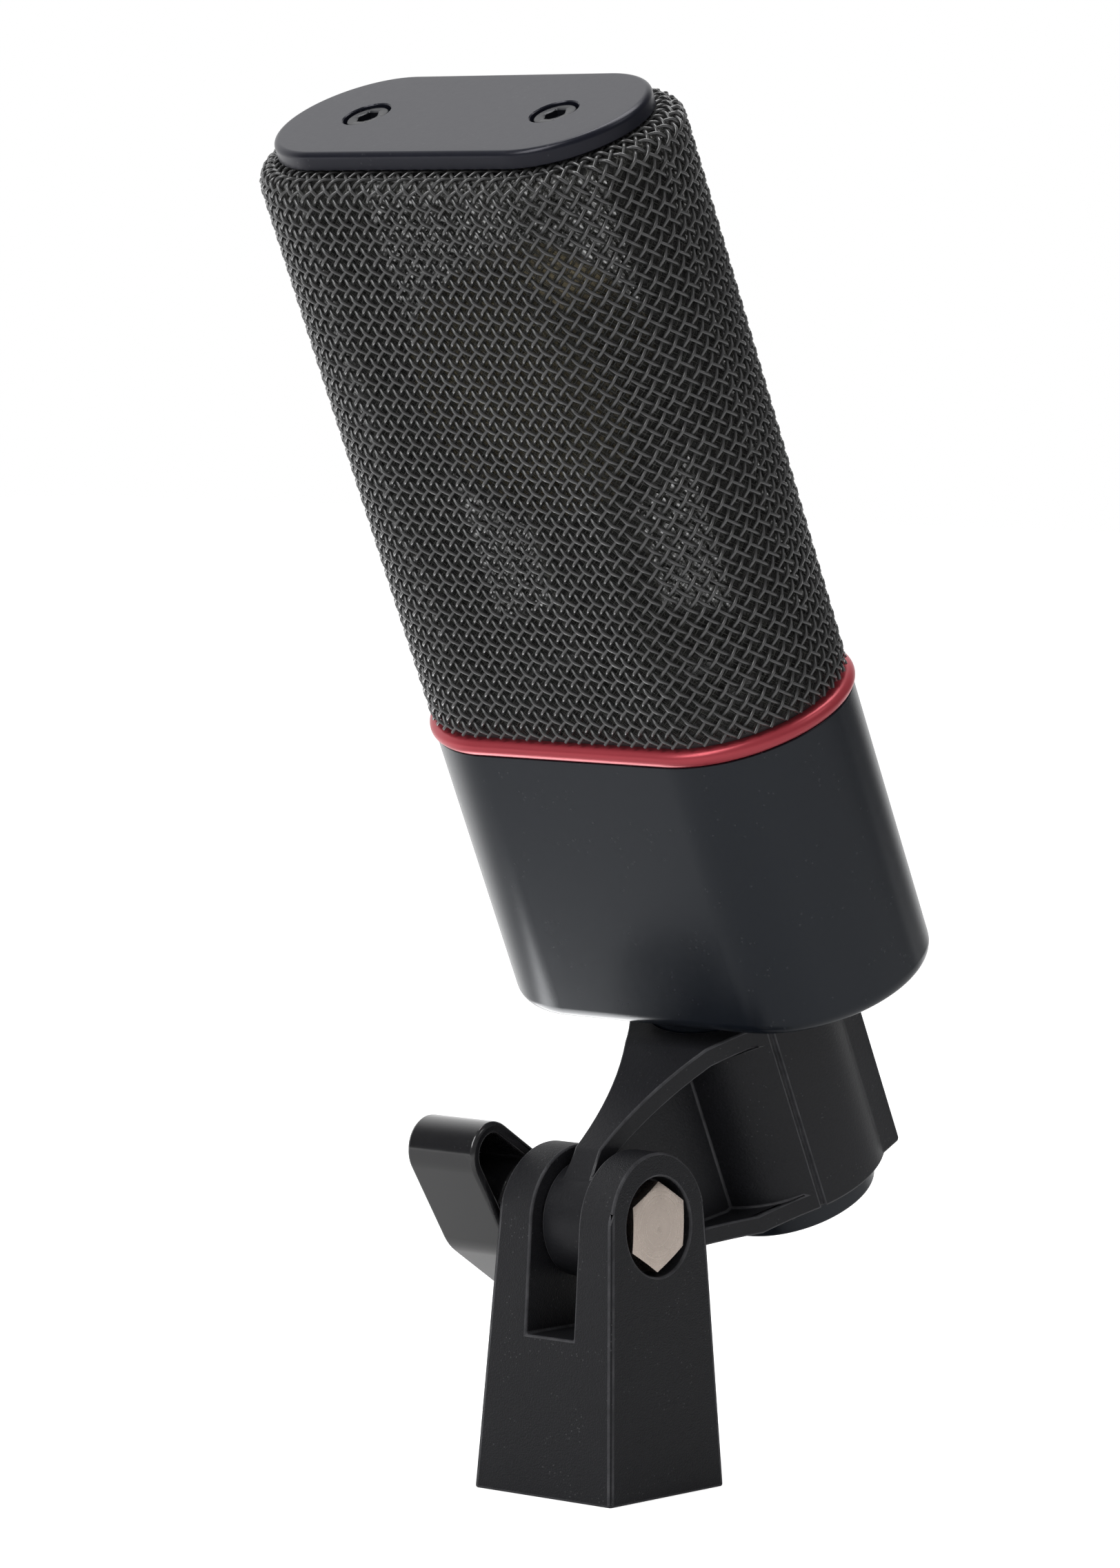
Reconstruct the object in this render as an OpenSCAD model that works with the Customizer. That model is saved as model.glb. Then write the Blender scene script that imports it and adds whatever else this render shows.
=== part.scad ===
// Side-address condenser microphone held in a swivel stand clip.
// Row frame: origin at the centre of the post's foot, +Z up, X along the hinge bolt, -Y is the front.
// Microphone and clip pieces are drawn in the microphone's own frame: z along its axis, y away from
// the hinge, x along the hinge bolt, with z = 0 opposite the hinge. on_mic() puts them in place.

/* [Post] */
// Width of the square post at its foot
post_w = 22.6; // [21:0.2:28]
// Slope of the post's four faces, in degrees
post_taper = 3.2; // [0:0.1:4.5]
// Bevel along the post's four corner edges
post_bevel = 0.3; // [0.2:0.1:2]
// Height of the hinge bolt above the foot
hinge_z = 34.2; // [32:0.2:45]
// Width of the slot between the two ears
slot_w = 7.8; // [6.5:0.1:9]
// Height of the slot's floor above the foot
slot_z = 20.3; // [18:0.1:22]
// Length of the threaded socket in the foot
socket_l = 14; // [10:0.5:15]

/* [Thread adapter] */
// Outer diameter of the adapter, for a 5/8 inch stand thread
adapter_d = 15.8; // [15:0.1:16.4]
// Length of the adapter
adapter_l = 13; // [8:0.5:14]
// Bore of the adapter, tapped 3/8 inch
adapter_bore = 7.94; // [7.5:0.02:9]
// Width of the screwdriver slot across the adapter
adapter_slot = 2; // [1:0.1:3]
// Depth of that slot
adapter_slot_h = 2; // [1:0.1:3]

/* [Hinge bolt and clamp] */
// Diameter of the bolt's shank
bolt_d = 6; // [5:0.1:7]
// Size across the flats of the bolt's head
bolt_flats = 10; // [9:0.1:10.5]
// Thickness of the bolt's head
bolt_head_h = 3.4; // [3:0.1:5]
// Diameter of the round recess around the head
recess_d = 12.6; // [12.2:0.1:13.6]
// Depth of that recess below the ear's face
recess_h = 3.5; // [2:0.1:3.8]
// Outer diameter of the clamp washer
washer_d = 12; // [10:0.5:15]
// Thickness of the clamp washer
washer_t = 0.8; // [0.6:0.1:2]
// Diameter of the wing knob's hub
hub_d = 13.4; // [12.8:0.2:15]
// Length of the wing knob along the bolt
knob_l = 11.2; // [9:0.2:13]
// Distance from the bolt's axis to the centre of a wing's tip
wing_reach = 11.8; // [10:0.2:12]
// Diameter of a wing's rounded tip
wing_tip_d = 8.4; // [6:0.2:9]
// Lean of the wings from upright, towards the front, in degrees
wing_lean = 46; // [0:1:90]
// Wall of the hollow knob
knob_wall = 1.6; // [1.2:0.1:2]
// Thickness of the knob's closed outer end
knob_end = 3; // [2:0.1:4]
// Size across the flats of the nut in the knob
nut_flats = 10; // [9:0.1:10.5]
// Thickness of that nut
nut_h = 5; // [4:0.1:5.5]

/* [Pose] */
// Forward lean of the microphone as photographed, in degrees
tilt = 26.2; // [0:0.2:40]
// Distance from the hinge bolt to the microphone's axis
axis_off = 35; // [33:0.2:42]

/* [Clip] */
// Diameter of the knuckle between the ears
knuckle_d = 14.8; // [13:0.2:16]
// Wall of the split sleeve
sleeve_t = 2.25; // [1.6:0.05:3]
// Height of the sleeve's top edge above the hinge, along the microphone
sleeve_top = 13.7; // [12.5:0.1:14.2]
// Depth of the sleeve's bottom edge below the hinge
sleeve_bottom = 14; // [10:0.5:15]
// Half of the angle that the sleeve's opening spans, in degrees
gap_half = 62; // [45:1:70]
// Length of the two lips beside the opening
lip_l = 4; // [2:0.2:6]
// Outward flare of the lips, in degrees
lip_flare = 2; // [0:1:25]
// Thickness of the neck's web
web_t = 2.8; // [2:0.2:3.4]
// Thickness of the neck's two flanges
flange_t = 2.6; // [2:0.1:3.5]
// Width of the flanges where they leave the knuckle
waist_w = 4.2; // [3.2:0.1:6]
// Distance from the hinge bolt at which the flanges start to flare
waist_y = 1; // [0:0.5:6]
// Width and depth of the fine groove down each side of the sleeve
groove = 0.5; // [0.3:0.1:0.9]

/* [Microphone outside] */
// Width of the stadium-shaped body
body_w = 61; // [56:0.5:68]
// Depth of the stadium-shaped body
body_d = 30.8; // [30:0.2:34]
// Height of the body's bottom edge above the hinge, along the microphone
body_bottom = 16.5; // [15.2:0.1:20]
// Height of the body shell
body_h = 39.1; // [38:0.1:55]
// Wall of the body shell
body_wall = 1.6; // [1.2:0.1:2]
// Thickness of the body shell's floor
body_floor = 2; // [1.5:0.1:3]
// Fillet around the body's bottom edge
body_fillet = 2; // [1:0.1:3]
// Height of the trim ring
ring_h = 2.1; // [1.5:0.1:3]
// How far the trim ring stands proud of the body
ring_proud = 0.5; // [0.1:0.05:0.8]
// Height of the dark gap between the trim ring and the mesh
gap_h = 0.6; // [0.3:0.1:1]
// Height of the mesh basket
basket_h = 77; // [70:0.5:95]
// Radius of the mesh basket's shoulder
shoulder_r = 2.6; // [2:0.1:4]
// Thickness of the coarse outer mesh
mesh_t = 0.9; // [0.6:0.1:1.2]
// Thickness of the fine inner mesh
fine_t = 0.3; // [0.2:0.05:0.5]
// Width of the top cap
cap_w = 54.8; // [50:0.2:56]
// Depth of the top cap
cap_d = 23.5; // [20:0.1:25]
// Thickness of the top cap
cap_h = 2.3; // [2.2:0.1:3]
// Edge radius around the top cap
cap_edge = 0.8; // [0.3:0.1:1]
// Distance between the two cap screws
cap_screw_gap = 30.3; // [26:0.1:33]
// Diameter of the recess around each cap screw
cap_recess_d = 6.2; // [5.8:0.1:7]

/* [Connector] */
// Outer diameter of the connector barrel
barrel_d = 22.4; // [20.4:0.2:23]
// Depth of the barrel's mouth below the hinge
barrel_end = 17.4; // [15.5:0.1:20]
// Bore of the barrel, which takes the cable's plug
plug_bore = 16.2; // [15.6:0.1:16.6]
// Depth of the plug's space inside the barrel
plug_depth = 16.4; // [14:0.1:18]
// Thickness of the insulator that carries the pins
insulator_t = 6; // [5:0.2:8]
// Diameter of a connector pin
pin_d = 2.4; // [2:0.1:2.8]
// Diameter of the circle through the pins' centres
pin_circle = 8; // [7.4:0.1:8.6]
// Length of the pins below the insulator
pin_l = 12.4; // [10:0.2:13.6]

/* [Capsule] */
// Height of the capsule's centre above the hinge, along the microphone
capsule_z = 101.5; // [97:0.5:106]
// Outer diameter of the capsule
capsule_d = 34; // [30:0.5:36]
// Thickness of the capsule's ring
capsule_t = 7; // [5:0.2:9]
// Diameter of the working diaphragm
diaphragm_d = 26; // [22:0.5:27]
// Thickness of a diaphragm, thicker than the real film
film_t = 0.1; // [0.05:0.05:0.2]
// Thickness of a clamp ring
clamp_t = 1.2; // [0.8:0.1:2]
// Number of screws in each clamp ring
capsule_screw_count = 8; // [4:1:12]
// Width of the saddle's stem
stem_w = 10; // [8:0.5:14]

/* [Chassis] */
// Thickness of the deck plate's lower step
deck_t = 2; // [1.5:0.1:3]
// Thickness of the base plate
base_t = 2.4; // [2:0.1:3]
// Width of a chassis rail
rail_w = 4; // [3.5:0.1:5]
// Depth of a chassis rail
rail_d = 10; // [8:0.5:11]
// Gap between a deck screw's head and the grille frame's ear, which places the rails
rail_clear = 1.1; // [0.6:0.1:2]
// Thickness of the circuit board
board_t = 1.6; // [1:0.1:2]
// Height of the circuit board
board_h = 25; // [22:0.5:27]
// Thickness of the grille frame's straps
strap_t = 1.6; // [1.2:0.1:2]
// Width of those straps
strap_w = 9; // [6:0.5:12]

/* [Switches] */
// Height of the switches above the body's bottom edge
switch_z = 21; // [18:0.5:24]
// Distance between the two switches
switch_gap = 14; // [12:0.5:16]
// Travel of a switch slider
switch_travel = 2; // [1.5:0.1:2.5]
// Width and height of a slider's tip
slider_s = 2; // [1.6:0.1:2.4]

/* [Hidden] */
$fn = 96;
run = 0.05;                 // clearance of parts that move or slide together
fit = 0.05;                 // clearance of parts that are fixed together
eps = 0.01;                 // overlap of cutting shapes
big = 200;                  // longer than the whole part

hinge_half = post_w / 2 - hinge_z * tan(post_taper);    // half width of the post at the bolt
ear_r = hinge_half * cos(post_taper);                   // round top of the ears
bolt_r = bolt_d / 2;
recess_x = hinge_half - recess_h;                       // floor of the recess for the bolt's head
washer_x = -hinge_half - hinge_half * sin(post_taper) - run;    // clears the sloping ear's face
knob_x = washer_x - washer_t - run;
nut_x = knob_x - 0.6;                                   // the nut sits just inside the knob's rim
bolt_end = knob_x - knob_l + knob_end + 1;

knuckle_half = slot_w / 2 - 0.14;
barrel_r = barrel_d / 2;
sleeve_in = barrel_r + run;
sleeve_out = sleeve_in + sleeve_t;
// The circle that flares a flange: tangent to the flange's edge at the waist and to the sleeve
waist = waist_w / 2;
flare_y = waist_y - axis_off;
flare_r = (pow(flare_y, 2) + pow(waist, 2) - pow(sleeve_out, 2)) / (2 * (sleeve_out - waist));
flare_x = waist + flare_r;
flare_end_x = flare_x * sleeve_out / (sleeve_out + flare_r);
flare_end_y = flare_y * sleeve_out / (sleeve_out + flare_r);
lip_corner = 0.4;

body_top = body_bottom + body_h;
ring_top = body_top + ring_h;
mesh_bottom = ring_top + gap_h;
mesh_top = mesh_bottom + basket_h;
cap_z = mesh_top + 0.2;
cap_screw_x = cap_screw_gap / 2;
cap_screw_r = 1.5;
cap_head_r = cap_recess_d / 2 - 0.35;
cap_floor = 0.9;                                        // metal left under a cap screw's head

body_in_w = body_w - 2 * body_wall;
body_in_d = body_d - 2 * body_wall;
deck_w = body_in_w - 2 * fit;
deck_d = body_in_d - 2 * fit;
ring_band = 2.2;
deck_up_w = body_w - 2 * ring_band - 2 * fit;
deck_up_d = body_d - 2 * ring_band - 2 * fit;
frame_w = body_w - 2 * (mesh_t + fine_t) - 4 * fit;
frame_d = body_d - 2 * (mesh_t + fine_t) - 4 * fit;
frame_h = 4;
frame_foot = gap_h;
bar_h = 2.6;
frame_top = mesh_top - mesh_t - fine_t - 2 * fit;
strap_x = frame_w / 2 - shoulder_r - strap_t;
band_t = 2;
ear_in = strap_x - strap_t / 2 - 4.2;                   // the ear reaches from here, inside the strap,
ear_out = frame_w / 2 - band_t / 2;                     // to the middle of the band's wall
ear_t = 2.5;
deck_head_r = 1.9;

base_z = body_bottom + body_floor;
base_top = base_z + base_t;
base_inset = inner_round(body_fillet, body_wall) + fit;
collar_t = 1.8;                                         // flange that holds the barrel in the body
collar_d = body_in_d - 2 * base_inset - 1;
base_screw_r = 0.8;
base_head_r = 1.2;
base_head_h = 0.8;
base_screw_x = barrel_r + base_head_r + 0.7;
collar_w = 2 * (base_screw_x + base_head_r + 0.3);
rail_x = ear_in - deck_head_r - rail_clear;             // the rails stand just inside the frame's ears
room_half = rail_x - rail_w / 2;                        // half of the room between the rails
deck_z = body_top - deck_t;
insulator_z = -barrel_end + plug_depth;
plug_r = plug_bore / 2;
cup_l = 3;                                              // solder cups above the insulator
barrel_screw_r = 1;

board_y = rail_d / 2;                                   // the board lies on the rails' rear edges
board_z = (base_top + deck_z) / 2 - board_h / 2;
board_half = rail_x + rail_w / 2;
board_screw_r = 0.9;
board_screw_in = 2.2;
board_head_r = 1.7;
board_head_h = 1;
board_grip = 3.5;                                       // how far a board screw goes into its rail

part_gap = 1;                                           // room beside the parts on the board
bobbin_w = room_half - part_gap;
bobbin_d = 6;
bobbin_h = 11;
bobbin_z = 6;
core_w = bobbin_w - 2;
core_d = 11;
core_h = 15;
core_z = 4;
small_cap_d = 4.4;
small_cap_l = 7;
small_cap_z = 8;
box_cap_w = 2.8;
box_cap_d = 4.5;
box_cap_h = 6.5;
box_cap_z = 12.5;
big_cap_l = 9;
big_cap_z = 17;
cap_left = 1.8 * part_gap + small_cap_d / 2;            // the two columns of small capacitors
cap_right = room_half - 0.2 * part_gap - small_cap_d / 2;
box_left = cap_left - 3.2 * part_gap;
box_right = cap_right - 0.7 * part_gap;
big_cap_d = box_right - box_left - box_cap_w - 2.3 * part_gap;  // fills the room between the box capacitors

switch_m = body_bottom + switch_z;
housing_w = 9;
housing_d = 5;
housing_h = 4.4;
housing_y = board_y + board_t;
slider_y = housing_y + housing_d;
window_w = slider_s + switch_travel + 0.6;
window_h = slider_s + 0.4;

capsule_r = capsule_d / 2;
diaphragm_r = diaphragm_d / 2;
film_r = diaphragm_r + 1.2;
plate_t = (capsule_t - 1) / 2;                          // each backplate, with a 1 mm air gap
capsule_screw_r = 0.8;
clamp_r = capsule_r - 0.4;
saddle_in = capsule_r + fit;
saddle_t = 2.8;
saddle_foot_w = 2 * (rail_x - deck_head_r - rail_clear);    // fits between the deck screws' heads
saddle_foot_d = 14;
saddle_foot_h = 2.4;
saddle_head_r = 1.9;
saddle_screw_x = saddle_foot_w / 2 - saddle_head_r - 0.9;
saddle_screw_r = 1;
saddle_grip = 1;                                        // how far a saddle screw goes into the deck's lower step
frame_screw_r = 1;
frame_head_r = 2;
frame_head_h = 1.2;
frame_screw_x = ear_in + 2.2;
deck_screw_r = 1;
deck_screw_l = 10;
screw_head_h = 1.1;
lead_r = 0.4;
lead_hole_r = 0.8;
lead_x = 3.2;
lead_y = 4.6;
wire_r = 0.5;

// ---------------------------------------------------------------- shared shapes

// Puts a piece drawn in the microphone's frame into the row frame.
module on_mic() {
    translate([0, 0, hinge_z]) rotate([tilt, 0, 0]) translate([0, axis_off, 0]) children();
}

// Puts a piece drawn along +Z so that it runs along the hinge bolt, with its z as the row's x.
module on_bolt() {
    translate([0, 0, hinge_z]) rotate([0, 90, 0]) children();
}

// A solid stadium of width w and depth d, with height h.
module stadium(w, d, h) {
    for (s = [-1, 1]) translate([s * (w - d) / 2, 0, 0]) cylinder(d = d, h = h);
    translate([-(w - d) / 2, -d / 2, 0]) cube([w - d, d, h]);
}

// Points along an arc of radius r about centre c, from angle a to angle b in n steps.
function arc(c, r, a, b, n) = [for (i = [0:n]) c + r * [cos(a + (b - a) * i / n), sin(a + (b - a) * i / n)]];

// A solid stadium whose top outer edge is rounded with radius r.
module domed_stadium(w, d, h, r) {
    out = d / 2;
    for (s = [-1, 1]) translate([s * (w - d) / 2, 0, 0]) rotate_extrude() {
        square([out, h - r]);
        square([out - r, h]);
        translate([out - r, h - r]) circle(r);
    }
    rotate([90, 0, 90]) linear_extrude(w - d, center = true) {
        translate([-out, 0]) square([2 * out, h - r]);
        translate([r - out, 0]) square([2 * (out - r), h]);
        for (s = [-1, 1]) translate([s * (out - r), h - r]) circle(r);
    }
}

// The radius inside a rounded edge of radius r on a wall.
function inner_round(r, wall) = max(r - wall, 0.3);

// A thin-walled stadium cup, open at the bottom, with its closed end at height h.
module stadium_cup(w, d, h, r, wall, roof) {
    difference() {
        domed_stadium(w, d, h, r);
        translate([0, 0, -1]) domed_stadium(w - 2 * wall, d - 2 * wall, h + 1 - roof, inner_round(r, wall));
    }
}

// A round rod between two points.
module rod(a, b, r) {
    v = b - a;
    l = norm(v);
    translate(a) rotate([0, acos(v[2] / l), atan2(v[1], v[0])]) cylinder(r = r, h = l, $fn = 24);
}

// A bent wire through points, with ball corners.
module wire(points, r) {
    for (i = [0:len(points) - 2]) rod(points[i], points[i + 1], r);
    for (i = [1:len(points) - 2]) translate(points[i]) sphere(1.08 * r, $fn = 24);
}

// A pan-head screw along -Z with its head resting on z = 0 and a cross recess.
module pan_screw(r, l, head_r, head_h) {
    difference() {
        union() {
            translate([0, 0, -l]) cylinder(r = r, h = l + eps);
            cylinder(r = head_r, h = head_h);
        }
        for (a = [0, 90]) rotate([0, 0, a])
            translate([-head_r * 0.6, -head_r * 0.12, head_h / 2]) cube([head_r * 1.2, head_r * 0.24, head_h]);
    }
}

// ---------------------------------------------------------------- stand clip, fixed part

// The outline of the tapered post seen along one of its faces.
module post_side() {
    polygon([[-post_w / 2, 0], [post_w / 2, 0], [ear_r * cos(post_taper), hinge_z + ear_r * sin(post_taper)],
        [-ear_r * cos(post_taper), hinge_z + ear_r * sin(post_taper)]]);
    translate([0, hinge_z]) circle(ear_r);
}

// The outline of the post seen along its bolt: straight slopes up to the very top.
module post_front() {
    top = hinge_z + ear_r + 1;
    half = post_w / 2 - top * tan(post_taper);
    polygon([[-post_w / 2, 0], [post_w / 2, 0], [half, top], [-half, top]]);
}

// The same outline across the corners, which bevels the four edges.
module post_corner() {
    top = hinge_z + ear_r + 1;
    low = (post_w / 2) * sqrt(2) - post_bevel / sqrt(2);
    high = low - top * tan(post_taper) * sqrt(2);
    polygon([[-low, 0], [low, 0], [high, top], [-high, top]]);
}

module post() {
    color([0.10, 0.10, 0.11]) difference() {
        intersection() {
            rotate([90, 0, 90]) linear_extrude(big, center = true) post_side();
            rotate([90, 0, 0]) linear_extrude(big, center = true) post_front();
            rotate([90, 0, 45]) linear_extrude(big, center = true) post_corner();
            rotate([90, 0, -45]) linear_extrude(big, center = true) post_corner();
        }
        translate([-slot_w / 2, -post_w, slot_z]) cube([slot_w, 2 * post_w, big]);
        on_bolt() cylinder(r = bolt_r + run, h = 2 * post_w, center = true);
        on_bolt() translate([0, 0, recess_x]) cylinder(d = recess_d, h = post_w);
        translate([0, 0, -eps]) cylinder(d = adapter_d + 2 * fit, h = socket_l + eps);
    }
}

module thread_adapter() {
    color([0.72, 0.60, 0.34]) difference() {
        cylinder(d = adapter_d, h = adapter_l);
        translate([0, 0, -eps]) cylinder(d = adapter_bore, h = adapter_l + 2 * eps);
        translate([-adapter_d, -adapter_slot / 2, adapter_l - adapter_slot_h])
            cube([2 * adapter_d, adapter_slot, adapter_slot_h + 1]);
    }
}

module hinge_bolt() {
    color([0.66, 0.61, 0.56]) on_bolt() {
        translate([0, 0, bolt_end]) cylinder(r = bolt_r, h = recess_x + fit - bolt_end + eps);
        translate([0, 0, recess_x + fit]) cylinder(d = bolt_flats / cos(30), h = bolt_head_h, $fn = 6);
    }
}

// ---------------------------------------------------------------- stand clip, clamp

module clamp_washer() {
    color([0.7, 0.7, 0.72]) on_bolt() translate([0, 0, washer_x - washer_t]) difference() {
        cylinder(d = washer_d, h = washer_t);
        translate([0, 0, -eps]) cylinder(r = bolt_r + run, h = washer_t + 2 * eps);
    }
}

// The knob's outline along the bolt, shrunk by an inset for its hollow: two round tips and the
// hub's sides, joined by straight flanks that touch both.
module knob_shape(inset, l) {
    hub_r = hub_d / 2 - inset;
    tip_r = wing_tip_d / 2 - inset;
    lean = 90 - asin((hub_r - tip_r) / wing_reach);
    linear_extrude(l) polygon([each arc([wing_reach, 0], tip_r, -lean, lean, 16),
        each arc([0, 0], hub_r, lean, 180 - lean, 4),
        each arc([-wing_reach, 0], tip_r, 180 - lean, 180 + lean, 16),
        each arc([0, 0], hub_r, 180 + lean, 360 - lean, 4)]);
}

// Turns the knob's drawing so that its wings lean from upright towards the front, with z = 0
// at the knob's inner face and z growing outwards along the row's -X.
module on_knob() {
    translate([knob_x, 0, hinge_z]) rotate([wing_lean, 0, 0]) rotate([0, -90, 0]) children();
}

module wing_knob() {
    color([0.06, 0.06, 0.07]) on_knob() difference() {
        knob_shape(0, knob_l);
        difference() {
            translate([0, 0, -eps]) knob_shape(knob_wall, knob_l - knob_end + eps);
            cylinder(d = nut_flats / cos(30) + 2 * knob_wall, h = knob_l);
        }
        translate([0, 0, -eps]) cylinder(d = nut_flats / cos(30) + 2 * fit, h = nut_h + 0.6 + eps, $fn = 6);
        translate([0, 0, -eps]) cylinder(r = bolt_r + run, h = knob_l - knob_end + 0.2);
    }
}

module knob_nut() {
    color([0.74, 0.62, 0.36]) on_knob() translate([0, 0, knob_x - nut_x]) difference() {
        cylinder(d = nut_flats / cos(30), h = nut_h, $fn = 6);
        translate([0, 0, -eps]) cylinder(r = bolt_r + run, h = nut_h + 2 * eps);
    }
}

// ---------------------------------------------------------------- stand clip, tilting part

// The neck's two flanges seen from the side, as y from the microphone's axis against z.
module flange_side() {
    front = -axis_off;
    knuckle_r = knuckle_d / 2;
    near = -sleeve_out - 1;
    end = flare_end_y + 1;
    // upper flange, rising to the sleeve's top edge
    polygon([[front - 2, knuckle_r - flange_t], [front - 2, knuckle_r - 0.3], [front + 1.5, knuckle_r + 2.4],
        [near, sleeve_top], [end, sleeve_top], [end, sleeve_top - flange_t],
        [near, sleeve_top - flange_t], [front + 2, knuckle_r + 2.4 - flange_t]]);
    // lower flange, falling from the knuckle to the sleeve's bottom edge
    polygon([[front + 2, -knuckle_r + flange_t - 0.6], [front + 2, -knuckle_r - 0.4],
        [near, -sleeve_bottom], [end, -sleeve_bottom], [end, flange_t - sleeve_bottom],
        [near, flange_t - sleeve_bottom]]);
}

// The neck's web seen from the side, between and behind the flanges.
module web_side() {
    front = -axis_off;
    near = -sleeve_out + 1;
    knuckle_r = knuckle_d / 2;
    polygon([[front, knuckle_r - 1], [front + 1.5, knuckle_r + 1], [near, sleeve_top - 1],
        [near, 1 - sleeve_bottom], [front, 1 - knuckle_r]]);
}

// The flanges' outline from above: a straight waist, then an arc on each side that flares out
// to touch the sleeve.
module flange_plan(h) {
    sweep = asin(-flare_y / (sleeve_out + flare_r));
    side = arc([flare_x, flare_y], flare_r, 180, 180 - sweep, 14);
    linear_extrude(h) polygon([[waist, -axis_off - knuckle_d], each side, [flare_end_x - 1.5, flare_end_y + 1.5],
        [-flare_end_x + 1.5, flare_end_y + 1.5], each [for (i = [len(side) - 1:-1:0]) [-side[i][0], side[i][1]]],
        [-waist, -axis_off - knuckle_d]]);
}

// The sleeve from above: a split ring with a lip turned outwards on each side of its opening.
module sleeve_plan() {
    mid = (sleeve_in + sleeve_out) / 2;
    wedge = 3 * sleeve_out;
    lip_t = sleeve_t - 0.2;
    difference() {
        circle(sleeve_out);
        circle(sleeve_in);
        polygon([[0, 0], [-wedge * sin(gap_half), wedge * cos(gap_half)], [wedge * sin(gap_half), wedge * cos(gap_half)]]);
    }
    for (s = [-1, 1]) translate([s * mid * sin(gap_half), mid * cos(gap_half)]) rotate([0, 0, -s * lip_flare])
        translate([-lip_t / 2, -lip_t / 2]) square([lip_t, lip_l + lip_t / 2]);
}

// The part of the opening below each lip that is cut away, so the lip's lower corner slopes at 45 degrees.
module lip_corners() {
    reach = (sleeve_in + sleeve_out) / 2 * cos(gap_half) + lip_l * cos(lip_flare);
    rotate([90, 0, 90]) linear_extrude(big, center = true) polygon([[reach - lip_corner, -sleeve_bottom - 1],
        [reach - lip_corner, -sleeve_bottom], [reach + 1, lip_corner + 1 - sleeve_bottom],
        [reach + 1, -sleeve_bottom - 1]]);
}

module clip() {
    sleeve_h = sleeve_top + sleeve_bottom;
    color([0.07, 0.07, 0.08]) on_mic() difference() {
        union() {
            translate([0, -axis_off, 0]) rotate([0, 90, 0])
                cylinder(d = knuckle_d, h = 2 * knuckle_half, center = true);
            translate([0, 0, -sleeve_bottom]) linear_extrude(sleeve_h) sleeve_plan();
            rotate([90, 0, 90]) linear_extrude(web_t, center = true) web_side();
            intersection() {
                rotate([90, 0, 90]) linear_extrude(big, center = true) flange_side();
                translate([0, 0, -sleeve_bottom - 1]) flange_plan(sleeve_h + 2);
            }
        }
        translate([0, -axis_off, 0]) rotate([0, 90, 0])
            cylinder(r = bolt_r + run, h = big, center = true);
        translate([0, 0, -sleeve_bottom - 1]) cylinder(r = sleeve_in, h = sleeve_h + 2);
        lip_corners();
        // a fine groove down each side of the sleeve
        for (s = [-1, 1]) rotate([0, 0, s * 58]) translate([-groove / 2, -sleeve_out - 1, -sleeve_bottom - 1])
            cube([groove, 1 + groove, sleeve_h + 2]);
    }
}

// ---------------------------------------------------------------- microphone outside

module body_shell() {
    color([0.10, 0.12, 0.15]) on_mic() difference() {
        translate([0, 0, body_top]) mirror([0, 0, 1])
            stadium_cup(body_w, body_d, body_h, body_fillet, body_wall, body_floor);
        translate([0, 0, body_bottom - 1]) cylinder(r = barrel_r + fit, h = body_floor + 2);
        // windows for the two slide switches in the rear face
        for (s = [-1, 1]) translate([s * switch_gap / 2, body_d / 2, switch_m])
            cube([window_w, 3 * body_wall, window_h], center = true);
    }
}

module connector_barrel() {
    color([0.09, 0.10, 0.12]) on_mic() difference() {
        union() {
            translate([0, 0, -barrel_end]) cylinder(r = barrel_r, h = barrel_end + base_top + eps);
            translate([0, 0, base_top]) stadium(collar_w, collar_d, collar_t);
        }
        translate([0, 0, -barrel_end - 1]) cylinder(r = plug_r, h = big);
        translate([0, 0, insulator_z + insulator_t / 2]) rotate([90, 0, 0])
            cylinder(r = barrel_screw_r + fit, h = big);
        base_screw_holes();
    }
}

// The holes of the two screws that hold the collar down, through the collar and the base plate.
module base_screw_holes() {
    for (s = [-1, 1]) translate([s * base_screw_x, 0, base_z - 1])
        cylinder(r = base_screw_r, h = base_t + collar_t + 2, $fn = 24);
}

module connector_insulator() {
    color([0.12, 0.12, 0.12]) on_mic() difference() {
        translate([0, 0, insulator_z]) cylinder(r = plug_r - fit, h = insulator_t);
        pin_places() translate([0, 0, insulator_z - 1]) cylinder(d = pin_d + 2 * fit, h = insulator_t + 2);
        translate([0, 0, insulator_z + insulator_t / 2]) rotate([90, 0, 0])
            cylinder(r = barrel_screw_r + fit, h = big);
    }
}

// The three pins, one of them towards the front.
module pin_places() {
    for (i = [0:2]) rotate([0, 0, -90 + i * 120]) translate([pin_circle / 2, 0, 0]) children();
}

module connector_pins() {
    color([0.82, 0.72, 0.45]) on_mic() pin_places() {
        translate([0, 0, insulator_z - pin_l + pin_d / 2])
            cylinder(d = pin_d, h = pin_l + insulator_t + cup_l - pin_d / 2);
        translate([0, 0, insulator_z - pin_l + pin_d / 2]) sphere(d = pin_d);
    }
}

module barrel_screw() {
    color([0.6, 0.6, 0.62]) on_mic() translate([0, -barrel_r + 0.2, insulator_z + insulator_t / 2])
        rotate([-90, 0, 0]) difference() {
            cylinder(r = barrel_screw_r, h = barrel_r - plug_r + 1);
            translate([-barrel_screw_r, -0.2, -1]) cube([2 * barrel_screw_r, 0.4, 1.5]);
        }
}

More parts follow.
